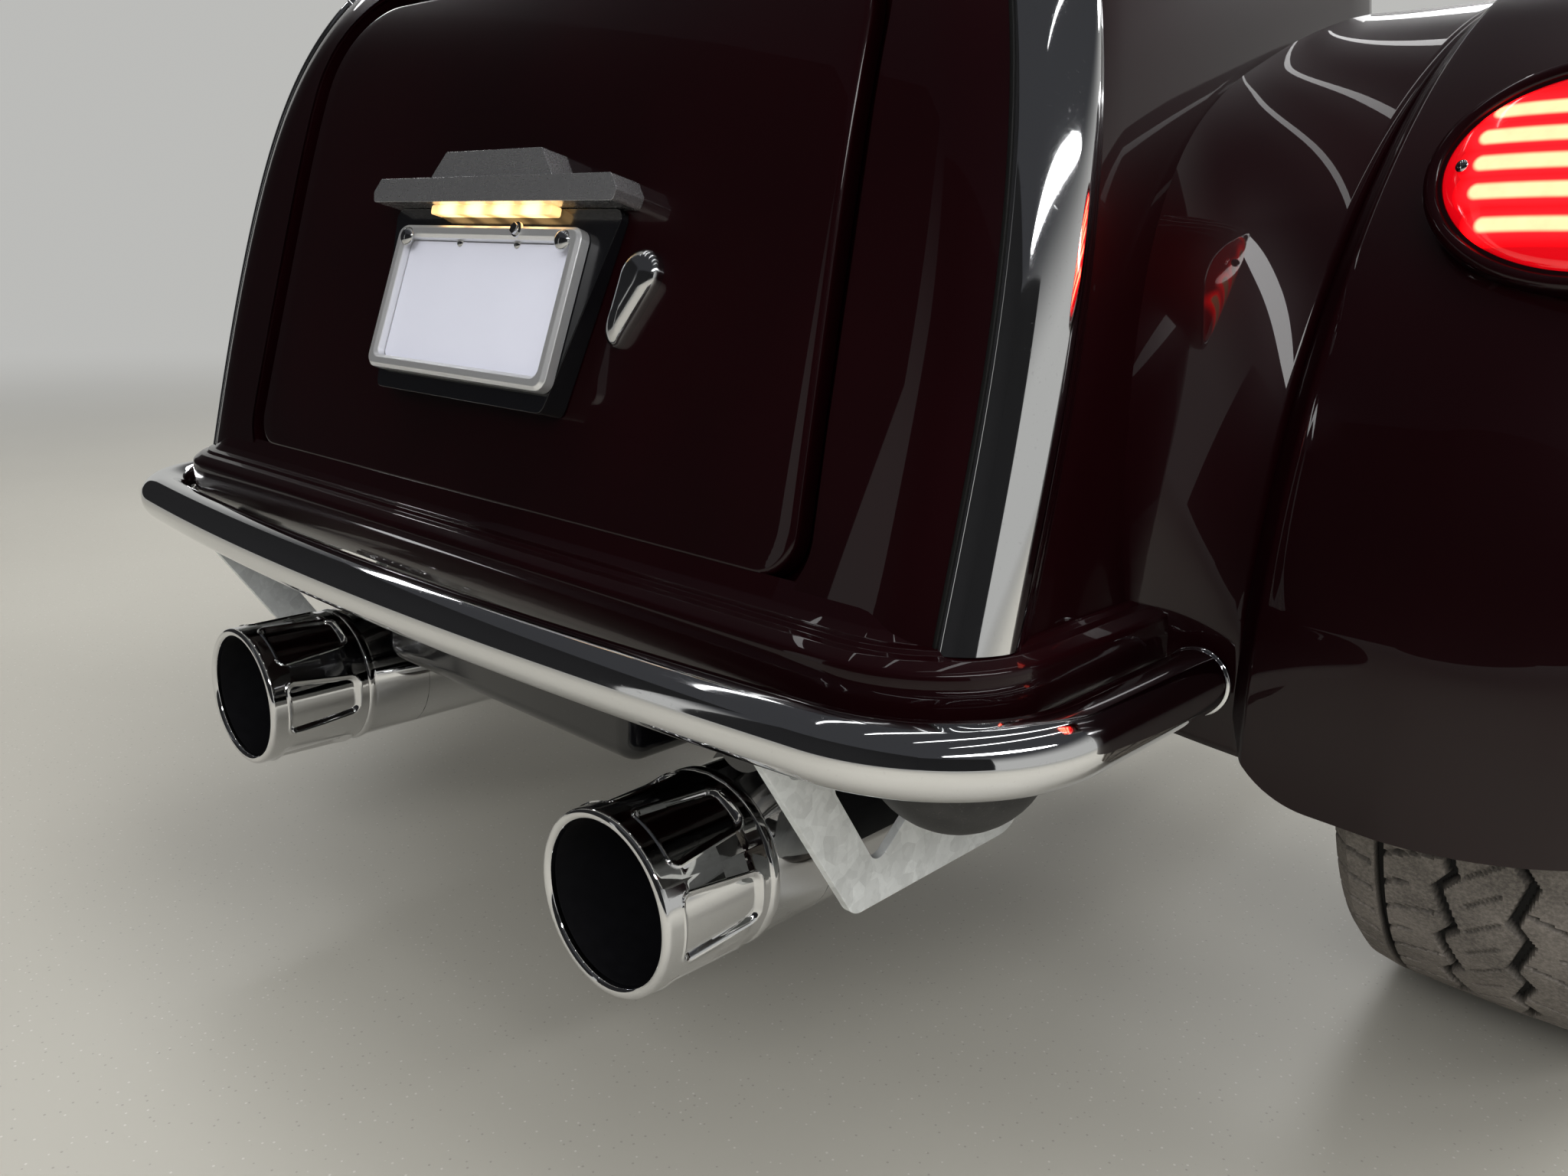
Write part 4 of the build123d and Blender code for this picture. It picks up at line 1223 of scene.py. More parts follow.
PAINT = Paint("black_cherry_paint", (0.024, 0.0012, 0.003))
FRAME_PAINT = Finish("frame_enamel", (0.009, 0.009, 0.01), 0.26, coat=0.5)
BLACK_PLASTIC = Dusty("moulded_black", (0.012, 0.012, 0.013), 0.5, relief=0.00006)
GLOSS_BLACK = Finish("gloss_black", (0.004, 0.004, 0.005), 0.16, coat=0.3)
CHROME = Chrome("polished_chrome", (0.8, 0.805, 0.815), 0.02)
SATIN_CHROME = Chrome("satin_chrome", (0.62, 0.625, 0.635), 0.09)
BRIGHT_CHROME = Chrome("bright_chrome", (0.86, 0.865, 0.875), 0.3, metal=0.82)
SMOKED_CHROME = Chrome("smoked_chrome", (0.8, 0.8, 0.82), 0.24, metal=0.93)
ALLOY = Chrome("bright_alloy", (0.68, 0.685, 0.695), 0.17)
STEEL = Finish("turned_steel", (0.42, 0.425, 0.43), 0.3, 1.0)
CASE = Finish("cast_enamel", (0.014, 0.014, 0.015), 0.5, relief=0.0002, grain=260.0)
ZINC = Zinc("spangled_zinc", (0.9, 0.925, 0.92), 0.36)
LENS = LitLens("red_lens", (0.3, 0.002, 0.004), 0.1)
STRIP = Shine("lit_strip", (0.8, 0.5, 0.25), 0.3, light=(1.0, 0.62, 0.24), strength=3.0)
PLATE = Finish("blank_plate", (0.62, 0.63, 0.72), 0.38, mottle=0.03, coat=0.3)
RUBBER = Rubber("tyre_rubber", (0.014, 0.0135, 0.013), 0.9)
# Near-black lining for the muffler bores: real soot, and painted shade where its end disc stands for the dark
# depth of the pipe.
SOOT_AND_SHADE = SootAndShade("soot", (0.0025, 0.0025, 0.003), 0.9)
# Near-black: the real rubber of the trim bead and the valve, and painted shade for the tail lamps' gap ring
# and the brake discs' drill holes.
BLACK_RUBBER_AND_SHADE = Finish("black_gasket", (0.003, 0.003, 0.003), 0.6)

NODE_FINISH: dict[str, Finish] = {
    "trunk_shell": PAINT, "trunk_tub": GLOSS_BLACK, "bumper": CHROME, "corner_pods": BLACK_PLASTIC,
    "exhaust_hangers": GLOSS_BLACK, "frame_cross_tube": FRAME_PAINT, "swingarm": FRAME_PAINT,
    "axle_housing": CASE, "door_hinge_brackets": STEEL, "trunk_door": PAINT, "door_hinge_arms": FRAME_PAINT,
    "door_handle": SATIN_CHROME, "plate_housing": GLOSS_BLACK, "plate_visor": SMOKED_CHROME,
    "plate_lamp": STRIP, "plate_frame": BRIGHT_CHROME, "licence_plate": PLATE, "drive_pulley": STEEL,
    "corner_trim": CHROME, "fender": PAINT, "tail_lamp_housing": PAINT, "tail_lamp_lens": LENS,
    "bumper_bracket": ZINC, "muffler": CHROME, "muffler_tip": CHROME, "frame_rail": FRAME_PAINT,
    "frame_stay": FRAME_PAINT, "wheel": ALLOY, "tyre": RUBBER, "hub": STEEL, "shock_absorber": CHROME,
    "brake_caliper": FRAME_PAINT,
}


def family(node: str) -> str:
    """A node's name without its side.

    Args:
        node: The node's name.

    Returns:
        The name that both sides share.
    """
    for side in Side:
        ending = "_" + side.word
        if node.endswith(ending):
            return node[: -len(ending)]
    return node


def node_facts(node: str) -> tuple[Body, Slot]:
    """Body and slot of a node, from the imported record.

    Args:
        node: The node's name.

    Returns:
        Its body and its material slot.
    """
    bodies = frame["record"]["behaviour"]["bodies"]
    body = next(name for name, members in bodies.items() if node in members)
    slot = next(row["material_slot"] for row in frame["record"]["subparts"] if row["node"] == node)
    return Body(body), Slot(slot)


@dataclass
class Shaping:
    """How a finished mesh is smoothed."""

    angle: float = 32.0
    bevel: float = 0.0
    wall: float = 0.0


def make_piece(name: str, mesh: Mesh, finish: Finish, body: Body, slot: Slot, stands_for: Sequence[str] = (),
               shaping: Shaping = Shaping()) -> None:
    """Turn a bmesh into a finished piece that rides on a body.

    Args:
        name: The piece's name.
        mesh: Its shape; it is freed.
        finish: Its finish.
        body: The body it rides on.
        slot: The record's slot; not used.
        stands_for: Nodes that it replaces.
        shaping: Smoothing and modifiers.
    """
    limit = math.radians(shaping.angle)
    for face in mesh.faces:
        face.smooth = True
    for edge in mesh.edges:
        edge.smooth = len(edge.link_faces) != 2 or edge.calc_face_angle(0.0) < limit
    data = bpy.data.meshes.new(name)
    mesh.to_mesh(data)
    mesh.free()
    data.materials.append(finish.material())
    piece = bpy.data.objects.new(name, data)
    bpy.context.scene.collection.objects.link(piece)
    if shaping.bevel > 0:
        bevel = piece.modifiers.new("edge", "BEVEL")
        bevel.width = shaping.bevel
        bevel.segments = 2
        bevel.limit_method = "ANGLE"
        bevel.angle_limit = limit
        bevel.harden_normals = True
    if shaping.wall > 0:
        wall = piece.modifiers.new("wall", "SOLIDIFY")
        wall.thickness = shaping.wall
    if stands_for:
        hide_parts(*stands_for)
    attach(piece, body.value)
    LOG.info("%s: %d faces, rides on %s", name, len(data.polygons), body.value)


def make_sided(side: Side, name: str, mesh: Mesh, finish: Finish, slot: Slot, replaced: str = "",
               shaping: Shaping = Shaping(), body: Body = Body.REAR) -> None:
    """Make one side's piece from a right-hand mesh.

    Args:
        side: The side.
        name: The piece's name without its side.
        mesh: The right-hand shape; it is freed.
        finish: Its finish.
        slot: The record's slot, handed on to make_piece.
        replaced: The node that it replaces, without its side, if there is one.
        shaping: Smoothing and modifiers.
        body: The body it rides on.
    """
    ending = "_" + side.word
    stands_for = [replaced + ending] if replaced else []
    make_piece(name + ending, on_side(mesh, side), finish, body, slot, stands_for, shaping)


@dataclass
class TrunkBody:
    """The trunk's lacquered skin with its rolled door opening, the ledge under it and the corner trims."""

    door: DoorLine = DoorLine()
    skin: float = 1.0
    channel: float = 14.0
    lip: float = 3.0
    wall: float = 12.0
    ledge_half: float = 447.0
    ledge_back: float = 45.0
    ledge_corner: float = 80.0
    ledge_front: float = 330.0
    trim_proud: float = 7.6
    trim_foot: float = 0.4
    trim_inner: float = 20.0
    trim_side: float = 62.0
    trim_heights: Pair = (38.5, 425.0)

    def build(self) -> None:
        """Make the skin, the ledge and both trims."""
        skin = joined([self.sheet(), self.opening(), self.roof()], SEAM)
        bmesh.ops.recalc_face_normals(skin, faces=skin.faces)
        face_outward(skin, INSIDE_TRUNK)
        make_piece("trunk_skin", skin, PAINT, Body.REAR, Slot.PAINT, shaping=Shaping(50.0))
        make_piece("trunk_ledge", self.ledge(), PAINT, Body.REAR, Slot.PAINT, shaping=Shaping(50.0))
        for side in Side:
            make_sided(side, "corner_trim_shape", self.trim(), CHROME, Slot.CHROME, "corner_trim",
                       Shaping(60.0))
            make_sided(side, "trim_gasket", self.gasket(), BLACK_RUBBER_AND_SHADE, Slot.PLASTIC)

    def columns(self) -> list[float]:
        """Values across the skin, from the middle of the front round the back and on again.

        Returns:
            The values.
        """
        half = [0.0]
        for start, steps in enumerate((20, 5, 9, 12, 5, 5)):
            half += spaced(start, start + 1, steps)[1:]
        return mirrored(half)

    def share(self, column: float, level: float) -> float:
        """Place across the form for a column of the skin.

        Args:
            column: Up to 1 over the door's opening, 2 at the end of the straight back, then on round.
            level: Level from 0 to 1.

        Returns:
            The form's own value.
        """
        size = abs(column)
        flat = TRUNK.flat(level)
        if size <= 2:
            edge = self.door.half_width(TRUNK.along(level), self.channel + self.lip)
            x = size * edge if size <= 1 else edge + (size - 1) * (flat - edge)
            return math.copysign(x / flat, column)
        return math.copysign(size - 1, column)

    def sheet(self) -> Mesh:
        """Back, corners, sides and front, open where the door is.

        Returns:
            The mesh.
        """
        ups = self.door.ups(self.channel + self.lip)
        levels = [TRUNK.level_at(up) for up in ups]
        rows = spaced(0, levels[0], 7)[:-1] + levels + spaced(levels[-1], 1.0, 7)[1:]

        def place(column: float, level: float) -> Vector:
            """Point for a column and a row."""
            return TRUNK.place(self.share(column, level), level, self.skin)

        def leave(column: float, level: float) -> bool:
            """Whether a cell lies over the door's opening."""
            return abs(column) < 1 and levels[0] < level < levels[-1]

        return mapped(self.columns(), rows, place, leave, INSIDE_TRUNK)

    def opening(self) -> Mesh:
        """The opening's rolled lip and the wall of the channel round the door.

        Returns:
            The mesh.
        """
        shares = [value for value in self.columns() if abs(value) <= 1]
        profile = arc_line((self.channel + self.lip, self.skin), (self.channel + 0.6, 0.1),
                           (self.channel - 0.4, -2.4), 5) + [(self.channel - 0.4, -self.wall)]
        return self.door.band(profile, shares)

    def roof(self) -> Mesh:
        """The roof with its rolled edge.

        Returns:
            The mesh.
        """
        height, rise, rear, half_width, corner = TRUNK.sections[-1]
        slope = math.radians(rise)
        up = Vector((0.0, -math.sin(slope), math.cos(slope)))
        rings = [(0.0, 0.0), (-0.75, 0.35), (0.3, 0.85), (2.0, self.skin), (16.0, self.skin)]
        fan = 4
        middle = Vector((0.0, BUMPER_BACK + (TRUNK.front + rear) / 2,
                         BUMPER_LEVEL + height + (TRUNK.front - rear) / 2 * math.tan(slope))) + up * self.skin

        def place(column: float, ring: float) -> Vector:
            """Point for a column and a row.

            Args:
                column: Column's number or value.
                ring: Ring's number, from the edge inward.

            Returns:
                The point in millimetres.
            """
            share = self.share(column, 1.0)
            index = int(ring)
            if index == 0:
                return TRUNK.place(share, 1.0, self.skin)
            inset, lift = rings[min(index, len(rings) - 1)]
            narrow = Loft(front=TRUNK.front - inset)
            row = Section(height, rise, rear + inset, half_width - inset, corner - inset)
            spot = narrow.on_section(row, share) + Vector((0, 0, inset * math.tan(slope))) + up * lift
            beyond = max(0, index - len(rings) + 1) / fan
            return spot.lerp(middle, beyond)

        return mapped(self.columns(), range(len(rings) + fan), place)

    def stations(self) -> list[Station]:
        """Points and outward directions along the ledge's plan, left to right.

        Returns:
            The stations.
        """
        back = BUMPER_BACK + self.ledge_back
        centre = Vector((self.ledge_half - self.ledge_corner, back + self.ledge_corner))
        right = [(Vector((x, back)), Vector((0.0, -1.0))) for x in spaced(0, centre.x, 10)]
        right += bend(centre, self.ledge_corner, spaced(0, math.pi / 2, 14)[1:])
        right += [(Vector((self.ledge_half, y)), Vector((1.0, 0.0)))
                  for y in spaced(centre.y, BUMPER_BACK + self.ledge_front, 8)[1:]]
        return both_ways(right)

    def ledge(self) -> Mesh:
        """Rounded nose along the body's foot, with a bead and two fine steps above it.

        Returns:
            The mesh.
        """
        stations = self.stations()
        tuck = 3.0
        profile = rounded([(-30.0, 58.0), (-22.5, 47.0), (-17.5, 42.5), (-12.5, 41.6), (-10.5, 39.3),
                           (-6.0, 38.2), (1.0, 33.0), (1.4, 22.0), (0.6, 6.0), (-5.0, -3.0), (-16.0, -6.0),
                           (-34.0, -6.0)], (6, 2, 1, 1, 3, 6, 20, 14, 8, 8), 4)

        def place(station: float, step: float) -> Point:
            """Point for a column and a row.

            Args:
                station: Station's number.
                step: Point of the profile.

            Returns:
                The point in millimetres.
            """
            spot, out = stations[int(station)]
            outward, height = profile[int(step)]
            if int(station) in (0, len(stations) - 1):
                outward -= tuck
            end = spot + out * outward
            return end.x, end.y, BUMPER_LEVEL + height

        return mapped(range(len(stations)), range(len(profile)), place, inside=(0.0, -950.0, 0.0))

    def trim_levels(self) -> list[float]:
        """Levels of the trims' ends, by the height of the rear corner's middle over the bumper."""
        return [meeting(lambda level: TRUNK.base(1.5, level).z - BUMPER_LEVEL < height)
                for height in self.trim_heights]

    def trim(self) -> Mesh:
        """Right trim: a crowned strip with steep edges and closed ends.

        Returns:
            The mesh.
        """
        low, high = self.trim_levels()
        levels = [low] + spaced(low, high, 60) + [high]
        last = len(levels) - 1

        def place(across: float, row: float) -> Vector:
            """Point for a column and a row.

            Args:
                across: Share of the way across.
                row: Row's number.

            Returns:
                The point in millimetres.
            """
            level = levels[int(row)]
            start = TRUNK.share_inside(level, self.trim_inner)
            end = TRUNK.share_at(level, self.trim_side)
            lift = self.trim_proud * max(0.0, 1 - abs(2 * across - 1) ** 3.2) ** 0.5
            proud = self.trim_foot if int(row) in (0, last) else self.trim_foot + lift
            return TRUNK.place(start + (end - start) * across, level, proud)

        return mapped(eased(0, 1, 34), range(len(levels)), place, inside=INSIDE_CORNER)

    def gasket(self) -> Mesh:
        """Thin black bead along the right trim's inner edge.

        Returns:
            The mesh.
        """
        low, high = self.trim_levels()

        def place(across: float, level: float) -> Vector:
            """Point for a column and a row.

            Args:
                across: Share of the way across.
                level: Level from 0 to 1.

            Returns:
                The point in millimetres.
            """
            start = TRUNK.share_inside(level, self.trim_inner + 1.8)
            end = TRUNK.share_inside(level, self.trim_inner - 0.8)
            return TRUNK.place(start + (end - start) * across, level, 0.9 + 1.5 * math.sin(math.pi * across))

        return mapped(spaced(0, 1, 6), spaced(low, high, 50), place, inside=INSIDE_CORNER)


@dataclass
class TrunkDoor:
    """The door with its rounded edge."""

    line: DoorLine = DoorLine()
    edge: float = 4.2
    thick: float = 14.4
    back_edge: float = 1.5

    def build(self) -> None:
        """Make the door in place of its solid."""
        parts = [self.sheet(-self.edge, 0.0), self.rim(), self.sheet(-self.back_edge, -self.thick)]
        door = joined(parts, SEAM)
        face_outward(door, None)
        make_piece("trunk_door_shape", door, PAINT, Body.DOOR, Slot.PAINT, ["trunk_door"], Shaping(50.0))

    @property
    def shares(self) -> list[float]:
        """Shares of the half width at which the door is sampled."""
        return spaced(-1, 1, 40)

    def sheet(self, grow: float, out: float) -> Mesh:
        """Front or back face.

        Args:
            grow: The outline's growth.
            out: How far the face is off the trunk's form.

        Returns:
            The sheet.
        """
        def place(share: float, up: float) -> Vector:
            """Point for a column and a row."""
            return TRUNK.on_back(share * self.line.half_width(up, grow), up, out)

        return mapped(self.shares, self.line.ups(grow), place, inside=INSIDE_TRUNK)

    def rim(self) -> Mesh:
        """Rounded edge from the front face to the back face.

        Returns:
            The mesh.
        """
        round_off = self.edge * (1 - math.sqrt(0.5))
        back_off = self.back_edge * (1 - math.sqrt(0.5))
        profile = arc_line((-self.edge, 0.0), (-round_off, -round_off), (0.0, -self.edge), 6)
        profile += arc_line((0.0, -self.thick + self.back_edge), (-back_off, -self.thick + back_off),
                            (-self.back_edge, -self.thick), 3)
        return self.line.band(profile, self.shares)


@dataclass
class Bumper:
    """Polished tube with a bowed run, two corners, straight returns and capped ends."""

    half_width: float = 482.0
    bow: float = 20.0
    corner: float = 99.0
    run: float = 132.0
    radius: float = 19.2
    cap: float = 3.2
    cap_lip: float = 1.2

    def build(self) -> None:
        """Make the tube and both caps as one piece."""
        stations = self.stations()

        def place(station: float, turn: float) -> Point:
            """Point for a column and a row.

            Args:
                station: Station's number.
                turn: Angle in radians.

            Returns:
                The point in millimetres.
            """
            spot, out = stations[int(station)]
            side = spot + out * self.radius * math.cos(turn)
            return side.x, side.y, BUMPER_LEVEL + self.radius * math.sin(turn)

        tube = mapped(range(len(stations)), spaced(0, 2 * math.pi, 72), place, shut=True)
        wide = self.radius + self.cap_lip
        rows = [(-1.0, 0.0), (-1.0, wide - 0.8), (-0.6, wide - 0.2), (0.0, wide), (self.cap - 1.0, wide),
                (self.cap - 0.3, wide - 0.3), (self.cap, wide - 1.0), (self.cap, wide - 2.0),
                (self.cap - 0.8, wide - 2.6), (self.cap - 0.4, wide * 0.5), (self.cap - 0.2, 0.0)]
        parts = [tube]
        for spot, out in (stations[0], stations[-1]):
            parts.append(turned(rows, (spot.x, spot.y, BUMPER_LEVEL), "y", 72))
        whole = joined(parts)
        make_piece("bumper_shape", whole, CHROME, Body.REAR, Slot.CHROME, ["bumper"], Shaping(50.0))

    def stations(self) -> list[Station]:
        """Points and outward directions along the tube's line, left to right.

        Returns:
            The stations.
        """
        half_run = self.half_width - self.corner
        radius = (half_run ** 2 + self.bow ** 2) / (2 * self.bow)
        turn = math.asin(half_run / radius)
        centre = Vector((0.0, BUMPER_BACK + radius))
        right = bend(centre, radius, spaced(0, turn, 40))
        elbow = Vector((half_run, BUMPER_BACK + self.bow)) - right[-1][1] * self.corner
        right += bend(elbow, self.corner, spaced(turn, math.pi / 2, 30)[1:])
        right += [(Vector((elbow.x + self.corner, elbow.y + ahead)), Vector((1.0, 0.0)))
                  for ahead in spaced(0, self.run, 6)[1:]]
        return both_ways(right)


@dataclass
class Fenders:
    """Both fenders, each a pressed section turned over the wheel, and the hollow panels beside the trunk."""

    inner: float = 486.0
    outer: float = 716.0
    crease: float = 430.0
    edge: float = 340.0
    floor: float = 300.0
    wall: float = 5.0
    end: float = 99.0
    round_corner: float = 52.0
    chamfer: float = 12.0
    flat_end: float = 575.0
    flat_rise: float = 5.0
    bridge_span: Pair = (-25.0, -95.0)
    valley_radius: float = 417.5
    valley_turn: float = 85.0
    valley_sweep: float = 73.0
    flare_turn: float = 6.0
    flare_out: float = 4.0
    flare_end: float = 2.0
    sill: float = 13.0
    valley_line: tuple[Pair, ...] = (
        (-926.0, -60.0), (-942.0, -22.0), (-966.0, 13.0), (-984.0, 60.0), (-994.0, 110.0), (-997.0, 160.0),
        (-992.0, 208.0), (-978.0, 246.0), (-950.0, 277.0), (-905.0, 301.0), (-850.0, 320.0), (-780.0, 343.0),
        (-705.0, 363.0), (-640.0, 376.0))

    def build(self) -> None:
        """Make both fenders with their bridges, and both hollow panels."""
        for side in Side:
            make_sided(side, "fender_shape", joined([self.shell(), self.bridge()]), PAINT, Slot.PAINT,
                       "fender", Shaping(38.0, bevel=0.0013))
            make_sided(side, "fender_valley", self.valley(), PAINT, Slot.PAINT,
                       shaping=Shaping(60.0, wall=0.003))

    def section(self) -> list[Pair]:
        """Outside of the section as (x, radius), from the inner wall over the crown to the outer edge.

        Returns:
            The section's points.
        """
        foot = self.inner + self.chamfer
        flat_top = (self.flat_end, self.crease + self.flat_rise)
        inner = rounded([(self.inner, self.floor), (self.inner, self.crease - self.chamfer),
                         (foot, self.crease), flat_top], (4.5, 4.5), 5)
        tall = [(self.inner, radius) for radius in spaced(self.floor, inner[1][1], 5)[:-1]]
        flat = [(x, self.crease + self.flat_rise * (x - foot) / (self.flat_end - foot))
                for x in spaced(inner[-2][0], self.flat_end, 18)[1:]]
        crown = arc_line(flat_top, (self.outer - 32, self.crease - 42), (self.outer, self.edge), 22)
        return tall + inner[1:-1] + flat + crown[1:]

    def reach(self, x: float) -> float:
        """Angle at which the fender ends.

        Args:
            x: Place across it.

        Returns:
            The angle in radians from straight up.
        """
        raise_up = 0.0
        start = self.inner + self.round_corner
        if x < start:
            raise_up = self.round_corner - math.sqrt(self.round_corner ** 2 - (start - x) ** 2)
        return math.radians(self.end) - raise_up / self.crease

    def shell(self) -> Mesh:
        """Outer and inner face with the ends between them.

        Returns:
            The mesh.
        """
        outside = self.section()
        inside = []
        for index, spot in enumerate(outside):
            before = Vector(outside[max(index - 1, 0)])
            after = Vector(outside[min(index + 1, len(outside) - 1)])
            run = (after - before).normalized()
            inside.append((spot[0] + run.y * self.wall, spot[1] - run.x * self.wall))
        loop = outside + list(reversed(inside)) + [outside[0]]
        reaches = [self.reach(x) for x, radius in outside]
        reaches = reaches + list(reversed(reaches)) + [reaches[0]]

        def place(index: float, share: float) -> Point:
            """Point for a column and a row."""
            return round_axle(*loop[int(index)], -share * reaches[int(index)])

        def cap(sign: float) -> Callable[[float, float], Point]:
            """Placing of one end's cap."""
            return lambda index, step: round_axle(*(outside, inside)[int(step)][int(index)],
                                                  -sign * reaches[int(index)])

        parts = [mapped(range(len(loop)), spaced(-1, 1, 110), place)]
        parts += [mapped(range(len(outside)), (0, 1), cap(sign)) for sign in (1.0, -1.0)]
        shell = joined(parts, SEAM)
        face_outward(shell, None)
        return shell

    def valley(self) -> Mesh:
        """Hollow panel that sweeps from the trunk's side out to the fender's crease.

        Returns:
            The mesh.
        """
        last = len(self.valley_line) - 1

        def place(across: float, along: float) -> Vector:
            """Point for a column and a row.

            Args:
                across: Share of the way across.
                along: Place along the panel's line.

            Returns:
                The point in millimetres.
            """
            y, z = flowing(self.valley_line, along)
            flare = max(0.0, self.flare_end - along)
            sweep = self.valley_sweep * max(0.0, along - self.flare_end) / (last - self.flare_end)
            turn = math.radians(self.valley_turn + self.flare_turn * flare - sweep)
            near = Vector((TRUNK.side(y, max(z, self.sill)) - 1.5, y, z))
            far = Vector(round_axle(self.inner + 0.5 + self.flare_out * flare, self.valley_radius, -turn))
            knee = Vector((near.x + 4.0, near.y + (far.y - near.y) * 0.7, near.z + (far.z - near.z) * 0.6))
            return near * (1 - across) ** 2 + knee * 2 * across * (1 - across) + far * across ** 2

        return mapped(spaced(0, 1, 20), spaced(0, last, 110), place, inside=(300.0, -700.0, 0.0))

    def bridge(self) -> Mesh:
        """Strip between the fender's inner wall and the trunk's side.

        Returns:
            The mesh.
        """
        section = [(0.0, 0.0), (1.0, 0.0), (1.0, self.wall), (0.0, self.wall), (0.0, 0.0)]

        def place(index: float, turn: float) -> Point:
            """Point for a column and a row.

            Args:
                index: Point of the outline.
                turn: Angle in radians.

            Returns:
                The point in millimetres.
            """
            across, lift = section[int(index)]
            x, y, z = round_axle(0.0, self.floor + lift, turn)
            start = TRUNK.side(y, z) - 5.0
            return start + (self.inner + 2 - start) * across, y, z

        turns = [math.radians(turn) for turn in self.bridge_span]
        return mapped(range(len(section)), spaced(*turns, 24), place, shut=True)


@dataclass
class TailLamps:
    """Both tail lamps: a body-colour rim, a near-black ring of painted shade in the gap round the lens, a
    domed lens and its screw.
    """

    x: float = 610.0
    angle: float = 37.2
    proud: float = 26.8
    crease: float = 430.0
    half_width: float = 72.0
    half_height: float = 51.0
    tilt: float = 20.0
    dome: float = 9.0

    def matrix(self) -> Matrix:
        """From the lamp's plane, X across, Y up and Z out, to the model.

        Returns:
            The matrix, for a mesh in metres.
        """
        reach = self.crease + self.proud
        turn = math.radians(self.angle)
        spot = Vector((self.x, AXLE_BACK - reach * math.cos(turn), AXLE_LEVEL + reach * math.sin(turn)))
        return leaning(spot, self.tilt)

    def build(self) -> None:
        """Make both lamps."""
        rim = ((9.6, -10.0), (9.6, -2.0), (8.6, 0.9), (6.2, 1.8), (3.6, 1.5), (1.9, 0.0), (1.3, -3.0),
               (1.2, -9.0))
        # The gap ring is painted shade: a near-black band sunk between the rim and the lens.
        gap = ((1.3, -1.6), (0.2, -1.4), (-0.7, -2.2))
        matrix = self.matrix()
        for side in Side:
            make_sided(side, "tail_lamp_lens_shape", moved(self.lens(), matrix), LENS, Slot.LENS,
                       "tail_lamp_lens", Shaping(60.0))
            make_sided(side, "tail_lamp_rim", moved(self.ring(rim), matrix), PAINT, Slot.PAINT,
                       shaping=Shaping(60.0))
            make_sided(side, "tail_lamp_gap", moved(self.ring(gap), matrix), BLACK_RUBBER_AND_SHADE, Slot.PLASTIC)
            screw = dome_screw((-62.5, 1.0, 6.0), (-0.35, 0.0, 1.0), 3.4, 1.6)
            make_sided(side, "tail_lamp_screw", moved(screw, matrix), SATIN_CHROME, Slot.CHROME)

    def lens(self) -> Mesh:
        """Domed oval with a step at its edge.

        Returns:
            The mesh.
        """
        def place(turn: float, row: float) -> Point:
            """Point for a column and a row.

            Args:
                turn: Angle in radians.
                row: Row's number.

            Returns:
                The point in millimetres.
            """
            share, height = rows[int(row)]
            return (share * (self.half_width - 0.3) * math.cos(turn),
                    share * (self.half_height - 0.3) * math.sin(turn), height)

        rows = [(0.0, -13.5), (1.0, -13.5), (1.0, -1.5)]
        rows += [(math.sqrt(max(0.0, 1 - share ** 2)), self.dome * share) for share in
                 (0.02, 0.14, 0.27, 0.4, 0.53, 0.65, 0.75, 0.83, 0.9, 0.95, 0.98, 1.0)]
        return mapped(spaced(0, 2 * math.pi, 96), range(len(rows)), place, shut=True)

    def ring(self, profile: Sequence[Pair]) -> Mesh:
        """Band round the lamp's oval.

        Args:
            profile: Cross-section as (outward, up) pairs from the oval's edge.

        Returns:
            The mesh.
        """
        def place(turn: float, step: float) -> Point:
            """Point for a column and a row."""
            out, up = profile[int(step)]
            return ((self.half_width + out) * math.cos(turn), (self.half_height + out) * math.sin(turn), up)

        return mapped(spaced(0, 2 * math.pi, 96), range(len(profile)), place, shut=True, inside=(0, 0, -40))


